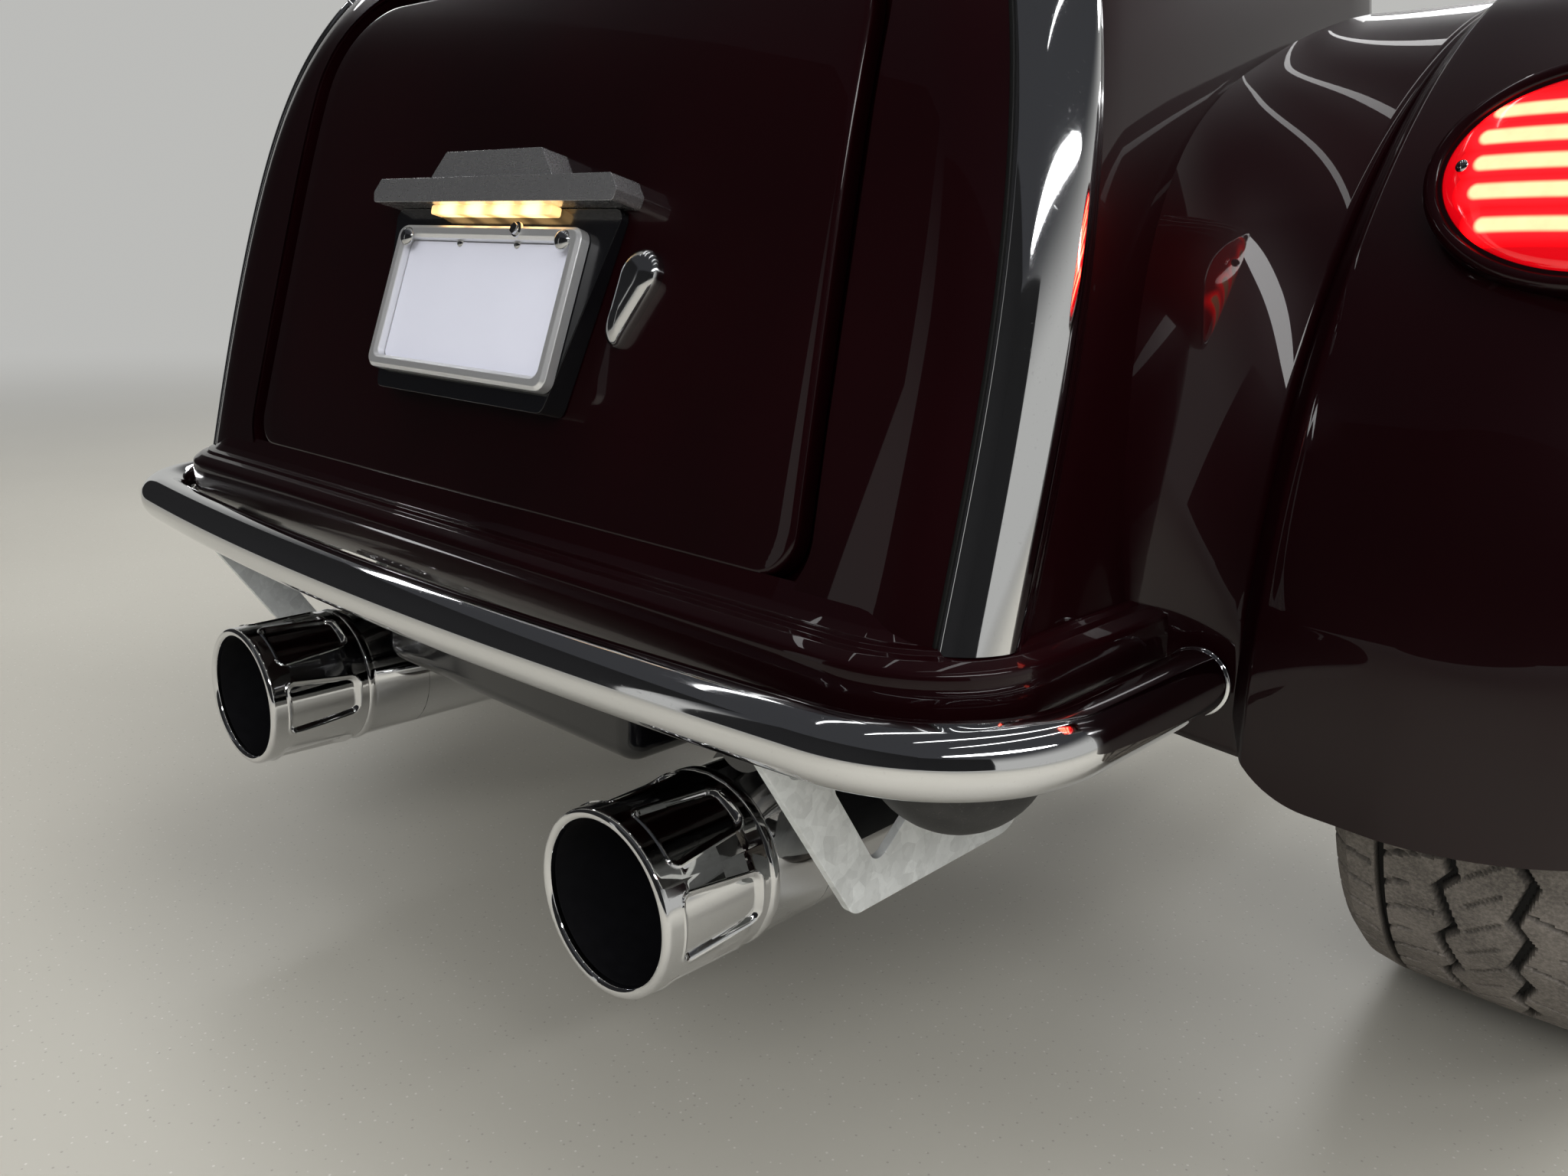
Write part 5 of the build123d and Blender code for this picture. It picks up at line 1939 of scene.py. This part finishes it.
@dataclass
class Exhausts:
    """Mufflers and their ribbed tips."""

    x: float = 237.0
    level: float = -167.5
    body: float = 57.0
    front: float = 590.0
    pipe: float = 25.0
    pipe_front: float = 1110.0
    tip: float = 57.9
    bore: float = 51.0
    rear: float = 7.0
    seam: float = 92.0
    tip_front: float = 150.0
    windows: int = 6
    window_half: float = 22.5
    window_taper: float = 6.5
    window_corner: float = 7.0
    sunk: float = 3.2
    lip: float = 0.9

    def build(self) -> None:
        """Make both sides."""
        for side in Side:
            make_sided(side, "muffler_tip_shape", self.tip_mesh(), CHROME, Slot.CHROME, "muffler_tip",
                       Shaping(40.0))
            # The bore's lining is soot with painted shade: its near-black end disc stands for the dark depth
            # of the pipe.
            make_sided(side, "muffler_bore", self.liner(), SOOT_AND_SHADE, Slot.PLASTIC)
            make_sided(side, "muffler_shape", self.muffler(), CHROME, Slot.CHROME, "muffler", Shaping(30.0))

    @property
    def window_ends(self) -> Pair:
        """Where the windows start and end ahead of the bumper."""
        return self.rear + 15.0, self.seam - 9.0

    def window(self, distance: float) -> float:
        """Half width of a window at a distance ahead of the bumper."""
        near, far = self.window_ends
        return self.window_half - self.window_taper * min(1.0, max(0.0, (distance - near) / (far - near)))

    def relief(self, along: float, distance: float) -> float:
        """Height of the tip's pattern.

        Args:
            along: Millimetres round the tip from the middle of a window.
            distance: Millimetres ahead of the bumper.

        Returns:
            The height.
        """
        near, far = self.window_ends
        radius = self.window_corner
        beyond_x = abs(along) - (self.window(distance) - radius)
        beyond_y = abs(distance - (near + far) / 2) - ((far - near) / 2 - radius)
        outside = math.hypot(max(beyond_x, 0.0), max(beyond_y, 0.0))
        outside += min(max(beyond_x, beyond_y), 0.0) - radius
        if outside < -0.4:
            share = max(0.0, (outside + 3.0) / 2.6)
            return -self.sunk * (1 - share * share * (3 - 2 * share))
        if outside < 1.8:
            return self.lip * math.sin(math.pi * (outside + 0.4) / 2.2)
        return 0.0

    def tip_mesh(self) -> Mesh:
        """Right tip: rolled rim, sunk windows between raised ribs, and a double seam ring.

        Returns:
            The mesh.
        """
        roll = (self.tip - self.bore) / 2
        middle = (self.rear + roll, self.bore + roll)
        rows = [(self.tip_front - 4, 0.0), (self.tip_front - 4, self.bore), (60.0, self.bore)]
        rows += [(middle[0] - roll * math.sin(turn), middle[1] - roll * math.cos(turn))
                 for turn in spaced(0, math.pi, 12)]
        plain = len(rows)
        rows += [(distance, self.tip) for distance in spaced(middle[0] + 1.5, self.seam - 4, 84)]
        shaped = len(rows)
        bead = ((-3, 0.0), (-2.2, -1.4), (0, -1.4), (0.8, 0.0), (2, 0.5), (5, 0.5), (7.4, 0.0))
        rows += [(self.seam + ahead, self.tip + up) for ahead, up in bead]
        rows += [(self.seam + 8.4, self.body + 0.2), (self.tip_front, self.body), (self.tip_front, 0.0)]
        half = spaced(0, 14.0, 6) + spaced(15.0, 25.5, 14)
        reach = half[-1]
        edge = math.pi * self.tip / self.windows
        columns = [(sector, value) for sector in range(self.windows) for value in mirrored(half)]
        columns.append((self.windows, -reach))

        def place(column: float, row: float) -> Point:
            """Point for a column and a row.

            Args:
                column: Column's number or value.
                row: Row's number.

            Returns:
                The point in millimetres.
            """
            sector, value = columns[int(column)]
            distance, radius = rows[int(row)]
            along = math.copysign(edge, value) * 0.985
            if abs(value) < reach:
                along = value * (self.window(distance) / self.window_half)
            turn = (sector + 0.5) * 2 * math.pi / self.windows + along / self.tip
            if plain <= int(row) < shaped:
                radius += self.relief(along, distance)
            return (self.x + radius * math.sin(turn), BUMPER_BACK + distance,
                    self.level + radius * math.cos(turn))

        return mapped(range(len(columns)), range(len(rows)), place, shut=True)

    def liner(self) -> Mesh:
        """Sooted lining of the bore, closed by a near-black disc that paints the shade deeper in the pipe.

        Returns:
            The mesh.
        """
        wide = self.bore - 0.5
        middle = 60.0
        rows = [(self.rear + 5.5, wide + 0.45), (self.rear + 6.5, wide), (self.tip_front - 5, wide),
                (self.tip_front - 5, 0.0)]
        centre = (self.x, BUMPER_BACK + middle, self.level)
        mesh = turned([(distance - middle, radius) for distance, radius in rows], centre, "y")
        face_outward(mesh, centre)
        bmesh.ops.reverse_faces(mesh, faces=mesh.faces)
        return mesh

    def muffler(self) -> Mesh:
        """Right muffler and its pipe forward.

        Returns:
            The mesh.
        """
        start = self.tip_front + 0.3
        rows = [(start, 0.0), (start, self.body), (start + 40, self.body), (self.front - 60, self.body)]
        rows += arc_line((self.front - 58, self.body - 0.4), (self.front - 22, self.body - 9),
                         (self.front, self.pipe + 12), 8)
        rows += [(self.front + 24, self.pipe), (self.front + 60, self.pipe), (self.pipe_front - 2, self.pipe),
                 (self.pipe_front, self.pipe - 1), (self.pipe_front - 1, self.pipe - 2),
                 (self.pipe_front - 80, self.pipe - 2), (self.pipe_front - 80, 0.0)]
        return turned(rows, (self.x, BUMPER_BACK, self.level), "y")


@dataclass
class Tyres:
    """Both tyres with their tread cut into the surface."""

    radius: float = 323.0
    depth: float = 7.0
    pitches: int = 36
    steps: int = 24
    rib_groove: Pair = (59.0, 64.5)
    chain: float = 22.0
    chain_half: float = 2.9
    chain_sway: float = 10.0
    chain_turn: float = 0.72
    sipe_half: float = 1.3
    centre_half: float = 11.0
    short_sipe: float = 44.0
    shoulder: Pair = (67.0, 94.5)
    wall_top: float = 300.0
    wall_fade: float = 24.0
    clean: float = 0.82
    crown_line: tuple[Pair, ...] = ((0.0, 323.0), (66.0, 321.5), (84.0, 318.0), (94.0, 309.0))

    def build(self) -> None:
        """Make both tyres."""
        for side in Side:
            make_sided(side, "tyre_shape", self.tyre(), RUBBER, Slot.TYRE, "tyre", Shaping(28.0), side.wheel)

    def crown(self, x: float) -> float:
        """Radius of the uncut tread.

        Args:
            x: Millimetres across from the middle.

        Returns:
            The radius.
        """
        size = abs(x)
        for (first, high), (second, low) in zip(self.crown_line, self.crown_line[1:]):
            if size <= second:
                return high + (low - high) * (size - first) / (second - first)
        return self.crown_line[-1][1]

    def cut(self, x: float, arc: float) -> float:
        """How deep the pattern is cut, from 0 to 1.

        Args:
            x: Millimetres across from the middle.
            arc: Millimetres round the tread.

        Returns:
            The share of the groove's depth.
        """
        pitch = 2 * math.pi * self.radius / self.pitches
        size = abs(x)
        phase = (arc if x > 0 else arc + pitch / 2) % pitch
        if self.rib_groove[0] <= size <= self.rib_groove[1]:
            return 1.0
        stroke = phase / pitch
        sway = stroke / self.chain_turn - 0.5
        if stroke >= self.chain_turn:
            sway = 0.5 - (stroke - self.chain_turn) / (1 - self.chain_turn)
        chain = abs(size - self.chain - self.chain_sway * sway)
        if chain < self.chain_half + 0.9:
            return min(1.0, (self.chain_half + 0.9 - chain) / 1.2)
        half = phase % (pitch / 2)
        if size > self.rib_groove[1]:
            sweep = 5.0 * math.sin((size - 64.0) / 30.0 * math.pi / 2)
            gap = abs((phase - sweep) % (pitch / 2) - pitch / 4)
            return 0.85 if gap < self.sipe_half and size > self.shoulder[0] else 0.0
        if size > self.chain:
            inner = self.chain if phase < pitch / 2 else self.short_sipe
            lean = 13.0 * ((size - self.chain) / 37.0) ** 1.6
            gap = abs((half + lean) % (pitch / 2) - pitch / 4)
            return 0.9 if gap < self.sipe_half and size > inner else 0.0
        lean = arc - x * 1.1
        gap = abs(lean % (pitch / 2) - pitch / 4)
        return 0.7 if gap < 1.0 and size < self.centre_half else 0.0

    def profile(self) -> list[float]:
        """Places across the tread, close together at the grooves' edges.

        Returns:
            The places in millimetres.
        """
        low, high = self.rib_groove
        half = spaced(0.0, 9.0, 4) + spaced(11.0, 33.0, 14) + spaced(36.0, low - 2, 6)
        half += [low - 0.35, low + 0.35, high - 0.35, high + 0.35, 66.6, 67.4] + spaced(70.0, 94.0, 7)
        return mirrored(half)

    def tyre(self) -> Mesh:
        """Right tyre: tread, shoulders, sidewalls with rings, and beads.

        Returns:
            The mesh.
        """
        tread = self.profile()
        wall = [(100.0, 285.0), (101.6, 276.0), (103.0, 268.0), (103.0, 259.0), (103.7, 258.0),
                (103.7, 256.0), (102.6, 255.0), (101.0, 237.0), (100.2, 230.0), (100.9, 228.5),
                (100.3, 226.8), (93.7, 210.8), (89.6, 209.0), (86.5, 206.0), (85.7, 203.8), (85.7, 190.8)]
        left = [(-x, radius) for x, radius in reversed(wall)]
        rows = left + [(x, None) for x in tread] + wall + left[:1]
        count = self.pitches * self.steps

        def place(column: float, row: float) -> Point:
            """Point for a column and a row.

            Args:
                column: Column's number or value.
                row: Row's number.

            Returns:
                The point in millimetres.
            """
            x, radius = rows[int(row)]
            if radius is None:
                share = self.cut(x, column / count * 2 * math.pi * self.radius)
                radius = self.crown(x) - share * self.depth
            return round_axle(WHEEL_X + x, radius, 2 * math.pi * column / count)

        mesh = mapped(range(count + 1), range(len(rows)), place, shut=True)
        # The sunk layer darkens the tread by groove depth, partly for dust that only lies on the blocks and
        # partly as painted shade; on the sidewall it keeps the rubber cleaner below its top.
        layer = mesh.verts.layers.float.new("sunk")
        for vert in mesh.verts:
            spot = vert.co / MM
            out = math.hypot(spot.y - AXLE_BACK, spot.z - AXLE_LEVEL)
            across = spot.x - WHEEL_X
            if abs(across) <= self.shoulder[1]:
                vert[layer] = min(1.0, max(0.0, (self.crown(across) - out) / self.depth * 1.4))
            else:
                vert[layer] = min(self.clean, max(0.0, (self.wall_top - out) / self.wall_fade))
        return mesh


@dataclass
class WheelDetails:
    """Lug nuts, centre caps, valves and painted shade for the drilling of the brake discs."""

    nuts: int = 5
    nut_circle: float = 52.0
    face: float = 42.0
    disc_face: float = -25.9

    def build(self) -> None:
        """Make them for both wheels."""
        face = self.face
        cap = [(face - 6, 0.0), (face - 6, 33.0), (face + 2, 33.0), (face + 5, 30.5), (face + 5.5, 26.0),
               (face + 7.5, 25.0), (face + 9, 16.0), (face + 9.4, 0.0)]
        hub = (WHEEL_X, AXLE_BACK, AXLE_LEVEL)
        for side in Side:
            nuts = []
            for turn in spaced(0, 2 * math.pi, self.nuts)[:-1]:
                at = round_axle(WHEEL_X + face, self.nut_circle, turn)
                nuts.append(hex_bolt(at, (1, 0, 0), 22.0))
                nuts.append(dome_screw((at[0] + 8.6, at[1], at[2]), (1, 0, 0), 8.4, 6.0))
            make_sided(side, "lug_nuts", joined(nuts), CHROME, Slot.CHROME, body=side.wheel)
            make_sided(side, "centre_cap", turned(cap, hub, "x", 72), CHROME, Slot.CHROME,
                       shaping=Shaping(50.0), body=side.wheel)
            make_sided(side, "valve", self.valve(), BLACK_RUBBER_AND_SHADE, Slot.PLASTIC, body=side.wheel)
            # The brake discs' drill holes are painted shade: flat near-black discs on the disc's face.
            make_sided(side, "disc_holes", self.disc_holes(), BLACK_RUBBER_AND_SHADE, Slot.PLASTIC, body=side.wheel)

    def valve(self) -> Mesh:
        """Valve stem and cap through the rim's outer wall."""
        parts = [cone(4.4, 3.6, 30.0, 0.0, 20), cone(4.6, 4.2, 9.0, 17.0, 20)]
        return moved(joined(parts), aimed(round_axle(WHEEL_X + 84.0, 174.0, 0.32), (0.72, -0.2, -0.66)))

    def disc_holes(self) -> Mesh:
        """Flat near-black discs on the disc's outboard face: painted shade that stands for its drill holes.

        Returns:
            The mesh.
        """
        holes = []
        for radius, shift in ((94.0, 0.0), (112.0, 0.09), (130.0, 0.18)):
            for turn in spaced(0, 2 * math.pi, 20)[:-1]:
                hole = bmesh.new()
                bmesh.ops.create_circle(hole, cap_ends=True, segments=16, radius=3.6 * MM)
                at = round_axle(WHEEL_X + self.disc_face, radius, turn + shift)
                holes.append(moved(hole, aimed(at, (1, 0, 0))))
        return joined(holes)


@dataclass
class Springs:
    """Coil springs round the shock absorbers."""

    wire: float = 5.2
    radius: float = 32.0
    turns: float = 6.0
    span: Pair = (173.0, 262.0)
    top: Point = (260.0, -330.0, 240.0)

    def build(self) -> None:
        """Make both springs."""
        foot = Vector((self.top[0], AXLE_BACK, AXLE_LEVEL))
        run = (Vector(self.top) - foot).normalized()
        aside = run.cross(Vector((1, 0, 0))).normalized()
        across = Vector((1, 0, 0))

        def place(share: float, turn: float) -> Vector:
            """Point for a column and a row.

            Args:
                share: Share of the coil's length.
                turn: Angle in radians.

            Returns:
                The point in millimetres.
            """
            angle = share * self.turns * 2 * math.pi
            out = across * math.cos(angle) + aside * math.sin(angle)
            centre = foot + run * (self.span[0] + (self.span[1] - self.span[0]) * share) + out * self.radius
            thin = self.wire * min(1.0, math.sqrt(max(0.0, share * (1 - share)) * 400.0))
            return centre + (out * math.cos(turn) + run * math.sin(turn)) * thin

        for side in Side:
            coil = mapped(spaced(0, 1, 240), spaced(0, 2 * math.pi, 12), place, shut=True)
            make_sided(side, "spring", coil, CHROME, Slot.CHROME, shaping=Shaping(60.0))


def face_matrix(along: float, out: float = 0.0, lean_more: float = 0.0) -> Matrix:
    """From a plane over the door's leaning face, X across, Y up and Z out, to the model.

    Args:
        along: Distance up the face.
        out: Distance out of it.
        lean_more: Degrees that the plane leans beyond the face.

    Returns:
        The matrix, for a mesh in metres.
    """
    foot = Vector((0.0, BUMPER_BACK + TRUNK.face_rear, BUMPER_LEVEL + TRUNK.face_bottom))
    shift = Matrix.Translation(Vector((0.0, along, out)) * MM)
    return leaning(foot, TRUNK.face_lean) @ shift @ Matrix.Rotation(math.radians(-lean_more), 4, "X")


@dataclass
class PlateDetails:
    """Studs on the plate's frame, and the door's latch handle."""

    up: float = 134.0
    out: float = 22.5
    lean_more: float = 6.0
    handle_ends: tuple[Point, Point] = ((157.0, 162.0, 15.0), (142.0, 123.0, 7.0))
    handle_foot: float = -6.0
    handle_edge: float = 3.0
    handle_dome: float = 10.0

    def build(self) -> None:
        """Make the studs and the handle."""
        heads = ((-92.0, 44.0, -0.6, 7.0), (92.0, 44.0, -0.6, 7.0), (-34.0, 43.0, -8.0, 3.4),
                 (34.0, 43.0, -8.0, 3.4))
        studs = [dome_screw(at, (0, 0, 1), radius, radius * 0.7) for *at, radius in heads]
        studs.append(hex_bolt((40.0, 50.5, -1.0), (0, 0, 1), 8.0))
        plane = face_matrix(self.up, self.out, self.lean_more)
        make_piece("plate_studs", moved(joined(studs), plane), SATIN_CHROME, Body.DOOR, Slot.CHROME)
        make_piece("door_handle_shape", moved(self.handle(), face_matrix(0.0)), SATIN_CHROME, Body.DOOR,
                   Slot.CHROME, ["door_handle"], Shaping(60.0))

    def handle(self) -> Mesh:
        """Teardrop latch handle with a domed front, wide end up.

        Returns:
            The mesh.
        """
        (x0, y0, wide), (x1, y1, narrow) = self.handle_ends
        run = Vector((x1 - x0, y1 - y0))
        tilt = math.asin((wide - narrow) / run.length)
        heading = math.atan2(run.y, run.x)
        split = math.pi / 2 - tilt
        outline = [(x1, y1, narrow, heading + turn) for turn in spaced(-split, split, 16)]
        outline += [(x0, y0, wide, heading + turn) for turn in spaced(split, 2 * math.pi - split, 32)]
        outline.append(outline[0])
        rows = [(0.0, self.handle_foot), (1.0, self.handle_foot)]
        rows += [(math.cos(turn) ** 0.7, self.handle_edge + self.handle_dome * math.sin(turn))
                 for turn in spaced(0, math.pi / 2, 12)]

        def place(index: float, row: float) -> Point:
            """Point for a column and a row.

            Args:
                index: Point of the outline.
                row: Row's number.

            Returns:
                The point in millimetres.
            """
            x, y, radius, turn = outline[int(index)]
            share, height = rows[int(row)]
            middle = Vector((x0, y0)).lerp(Vector((x1, y1)), 0.3)
            spot = Vector((x + radius * math.cos(turn), y + radius * math.sin(turn)))
            spine = Vector((x, y)).lerp(middle, 1 - share)
            spot = spine + (spot - Vector((x, y))) * share
            return spot.x, spot.y, height

        return mapped(range(len(outline)), range(len(rows)), place, shut=True)


class Bolt(NamedTuple):
    """One bolt head on the right-hand side: its seat, where it points and its size."""

    at: Point
    way: Point
    size: float


@dataclass
class Fasteners:
    """Bolt heads on the brackets, the axle and the frame."""

    bracket_x: float = 340.5
    flange: Pair = (555.0, 50.0)
    cover: Pair = (69.5, 93.0)
    plate: Point = (140.0, -80.5, 240.0)

    def rows(self) -> list[Bolt]:
        """Right-hand bolts.

        Returns:
            The bolts.
        """
        rows = [Bolt((self.bracket_x, BUMPER_BACK + ahead, z), (1, 0, 0), size)
                for ahead, z, size in ((60.0, -62.0, 13.0), (236.0, -64.0, 15.0), (296.0, -64.0, 15.0))]
        for turn in spaced(math.pi / 4, math.pi * 9 / 4, 4)[:-1]:
            rows.append(Bolt(round_axle(*self.flange, turn), (1, 0, 0), 14.0))
        for turn in spaced(0, 2 * math.pi, 8)[:-1]:
            way = (0.7, 0.7 * math.sin(turn + 0.2), 0.7 * math.cos(turn + 0.2))
            rows.append(Bolt(round_axle(*self.cover, turn + 0.2), way, 12.0))
        x, y, z = self.plate
        rows += [Bolt((x + dx, y, z + dz), (0, -1, 0), 17.0) for dx in (-30.0, 30.0) for dz in (-42.0, 42.0)]
        return rows

    def build(self) -> None:
        """Make the bolts of both sides."""
        for side in Side:
            make_sided(side, "bolts", joined([hex_bolt(*row) for row in self.rows()]), STEEL, Slot.STEEL)


@dataclass
class CadPieces:
    """Nodes whose shape is right: a merged copy with rounded edges stands for each."""

    bevel: float = 0.0006
    merge: float = 0.00002

    def build(self) -> None:
        """Dress every node that no piece has replaced yet."""
        for node, thing in sorted(frame["nodes"].items()):
            if not thing.hide_render:
                self.copy(node, thing)

    def copy(self, node: str, thing: bpy.types.Object) -> None:
        """Make the merged copy of one node.

        Args:
            node: The node's name.
            thing: Its object.
        """
        mesh = bmesh.new()
        mesh.from_mesh(thing.data)
        bmesh.ops.remove_doubles(mesh, verts=mesh.verts, dist=self.merge)
        bmesh.ops.dissolve_limit(mesh, angle_limit=math.radians(1.0), verts=mesh.verts, edges=mesh.edges)
        body, slot = node_facts(node)
        make_piece(node + "_dressed", mesh, NODE_FINISH[family(node)], body, slot, [node],
                   Shaping(30.0, self.bevel))


class Lamp(NamedTuple):
    """One soft light: place, turn in degrees, size, power in watts and whether polish mirrors it."""

    name: str
    at: Point
    turn: Point
    size: Pair
    power: float
    mirrored: bool


@dataclass
class Studio:
    """Floor, surroundings, lamps, dark cloths and camera."""

    floor: float = -0.345
    camera_at: Point = (0.7509, -1.5934, 0.2026)
    yaw: float = 42.545
    pitch: float = 15.059
    roll: float = -1.827
    focal_pixels: float = 1617.3
    width_pixels: float = 2048.0
    sensor: float = 36.0
    tube_places: Pair = (-1.5, 1.7)
    tube_size: Pair = (0.09, 3.8)
    tube_power: float = 3.2
    cloths: tuple[tuple[Point, float, Pair], ...] = (
        ((-3.4, -2.4, 1.15), -55.0, (4.4, 3.0)), ((0.6, -4.6, 1.15), 0.0, (5.2, 3.0)),
        ((4.5, -3.7, 1.15), 42.0, (3.6, 3.0)))
    pale: Colour = (0.5, 0.5, 0.485)
    even: Colour = (0.62, 0.62, 0.61)
    overhead: Colour = (0.045, 0.046, 0.05)
    horizon: Pair = (0.2, 0.5)

    def build(self) -> None:
        """Make everything that isn't part of the object."""
        self.ground()
        self.lamps()
        self.flags()
        self.world()
        self.camera()

    def show(self, name: str, mesh: Mesh, graph: MaterialGraph, seen: bool = True) -> None:
        """Put a mesh in the scene that isn't part of the object.

        Args:
            name: Its name.
            mesh: The mesh, in metres; it is freed.
            graph: Its material's graph.
            seen: Whether it is seen, lit and throws shadows, and isn't only mirrored.
        """
        data = bpy.data.meshes.new(name)
        mesh.to_mesh(data)
        mesh.free()
        data.materials.append(graph.material)
        thing = bpy.data.objects.new(name, data)
        thing.visible_camera = seen
        thing.visible_diffuse = seen
        thing.visible_shadow = seen
        bpy.context.scene.collection.objects.link(thing)

    def ground(self) -> None:
        """A wide floor with a light fleck, which fades into the pale surroundings far away."""
        mesh = bmesh.new()
        bmesh.ops.create_grid(mesh, x_segments=1, y_segments=1, size=30.0)
        bmesh.ops.translate(mesh, verts=mesh.verts, vec=(0, 0, self.floor))
        graph = MaterialGraph("studio_floor")
        cloud = graph.noise(2.0, 3.0)
        fleck = graph.spots(160.0).ramp(0.16, 0.1)
        shade = graph.patches(160.0)[0]
        base = graph.blend(cloud, (0.37, 0.355, 0.315), (0.42, 0.405, 0.36))
        speck = graph.blend(shade.ramp(0.45, 0.55), (0.22, 0.21, 0.19), (0.6, 0.59, 0.56))
        graph.set(Base_Color=graph.blend(fleck * 0.6, base, speck), Roughness=0.42)
        x, y, z = graph.axes(graph.place)
        away = ((x * x + (y + 0.6) * (y + 0.6)) ** 0.5).ramp(1.6, 6.0)
        path = graph.node("ShaderNodeLightPath", {}, {})
        camera, glossy, through = (Level(graph, path.outputs[f"Is {kind} Ray"])
                                   for kind in ("Camera", "Glossy", "Transmission"))
        far = graph.node("ShaderNodeEmission", {}, {"Color": self.pale, "Strength": 1.0})
        graph.over(away * camera.most(glossy).most(through), far.outputs[0])
        self.show("studio_floor", mesh, graph)

    def lamps(self) -> None:
        """Soft boxes overhead, to each side, behind and in front, and a row of narrow ceiling tubes."""
        lamps = [
            Lamp("overhead", (0.5, 0.1, 2.3), (-12.0, 8.0, 0.0), (4.2, 3.0), 88.0, False),
            Lamp("strip_right", (2.4, -1.2, 1.5), (58.0, 0.0, 78.0), (2.6, 0.22), 14.0, True),
            Lamp("strip_left", (-2.6, 0.3, 1.7), (58.0, 0.0, -96.0), (2.6, 0.3), 16.0, True),
            Lamp("rear", (1.3, -3.0, 1.3), (72.0, 0.0, 20.0), (2.4, 1.2), 40.0, False),
            Lamp("front", (0.4, 2.4, 1.9), (-56.0, 0.0, 0.0), (2.2, 0.8), 30.0, True)]
        lamps += [Lamp(f"tube_{index}", (x, 0.1, 2.3), (0.0, 0.0, 0.0), self.tube_size, self.tube_power, True)
                  for index, x in enumerate(spaced(*self.tube_places, 4))]
        for row in lamps:
            light = bpy.data.lights.new(row.name, "AREA")
            light.shape = "ELLIPSE"
            light.size, light.size_y = row.size
            light.energy = row.power
            lamp = bpy.data.objects.new(row.name, light)
            lamp.location = row.at
            lamp.rotation_euler = [math.radians(part) for part in row.turn]
            lamp.visible_glossy = row.mirrored
            bpy.context.scene.collection.objects.link(lamp)

    def flags(self) -> None:
        """Dark cloths that only the lacquer, the chrome and the glass show."""
        graph = MaterialGraph("dark_cloth")
        graph.set(Base_Color=(0.012, 0.012, 0.014), Roughness=0.9)
        for index, (at, turn, size) in enumerate(self.cloths):
            mesh = bmesh.new()
            bmesh.ops.create_grid(mesh, x_segments=1, y_segments=1, size=0.5)
            bmesh.ops.scale(mesh, verts=mesh.verts, vec=(*size, 1.0))
            for angle, axis in ((90.0, "X"), (turn, "Z")):
                bmesh.ops.rotate(mesh, verts=mesh.verts, matrix=Matrix.Rotation(math.radians(angle), 3, axis))
            bmesh.ops.translate(mesh, verts=mesh.verts, vec=at)
            self.show(f"studio_cloth_{index}", mesh, graph, seen=False)

    def world(self) -> None:
        """Surroundings that are pale at the horizon and dark overhead, and even as a light."""
        world = bpy.data.worlds.new("studio")
        bpy.context.scene.world = world
        graph = Graph(world)
        height = graph.axes(graph.node("ShaderNodeTexCoord", {}, {}).outputs["Generated"])[2]
        stops = list(zip(self.horizon, (self.pale, self.overhead)))
        ramp = graph.node("ShaderNodeValToRGB", {"stops": stops}, {0: height})
        path = graph.node("ShaderNodeLightPath", {}, {})
        sky = graph.blend(path.outputs["Is Diffuse Ray"], ramp.outputs[0], self.even)
        back = graph.node("ShaderNodeBackground", {}, {"Color": sky, "Strength": 1.0})
        graph.node("ShaderNodeOutputWorld", {}, {"Surface": back.outputs[0]})

    def camera(self) -> None:
        """The photograph's camera, fitted to it."""
        yaw, pitch, roll = (math.radians(part) for part in (self.yaw, self.pitch, self.roll))
        flat = math.cos(pitch)
        forward = Vector((-math.sin(yaw) * flat, math.cos(yaw) * flat, -math.sin(pitch)))
        level = Vector((math.cos(yaw), math.sin(yaw), 0.0))
        down = forward.cross(level)
        right = math.cos(roll) * level + math.sin(roll) * down
        drop = -math.sin(roll) * level + math.cos(roll) * down
        turn = Matrix((right, -drop, -forward)).transposed()
        data = bpy.data.cameras.new("camera")
        data.sensor_fit = "HORIZONTAL"
        data.sensor_width = self.sensor
        data.lens = self.focal_pixels / self.width_pixels * self.sensor
        data.clip_start = 0.02
        data.clip_end = 100.0
        camera = bpy.data.objects.new("camera", data)
        camera.matrix_world = Matrix.Translation(self.camera_at) @ turn.to_4x4()
        bpy.context.scene.collection.objects.link(camera)
        bpy.context.scene.camera = camera


def main() -> None:
    """Build every class in order."""
    logging.basicConfig(level=logging.INFO, format="%(name)s: %(message)s")
    bpy.context.scene.view_settings.view_transform = "Standard"
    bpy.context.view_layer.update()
    for maker in (TrunkBody(), TrunkDoor(), Bumper(), Fenders(), TailLamps(), Exhausts(), Tyres(),
                  WheelDetails(), Springs(), PlateDetails(), Fasteners(), CadPieces(), Studio()):
        maker.build()


if __name__ == "__main__":
    main()
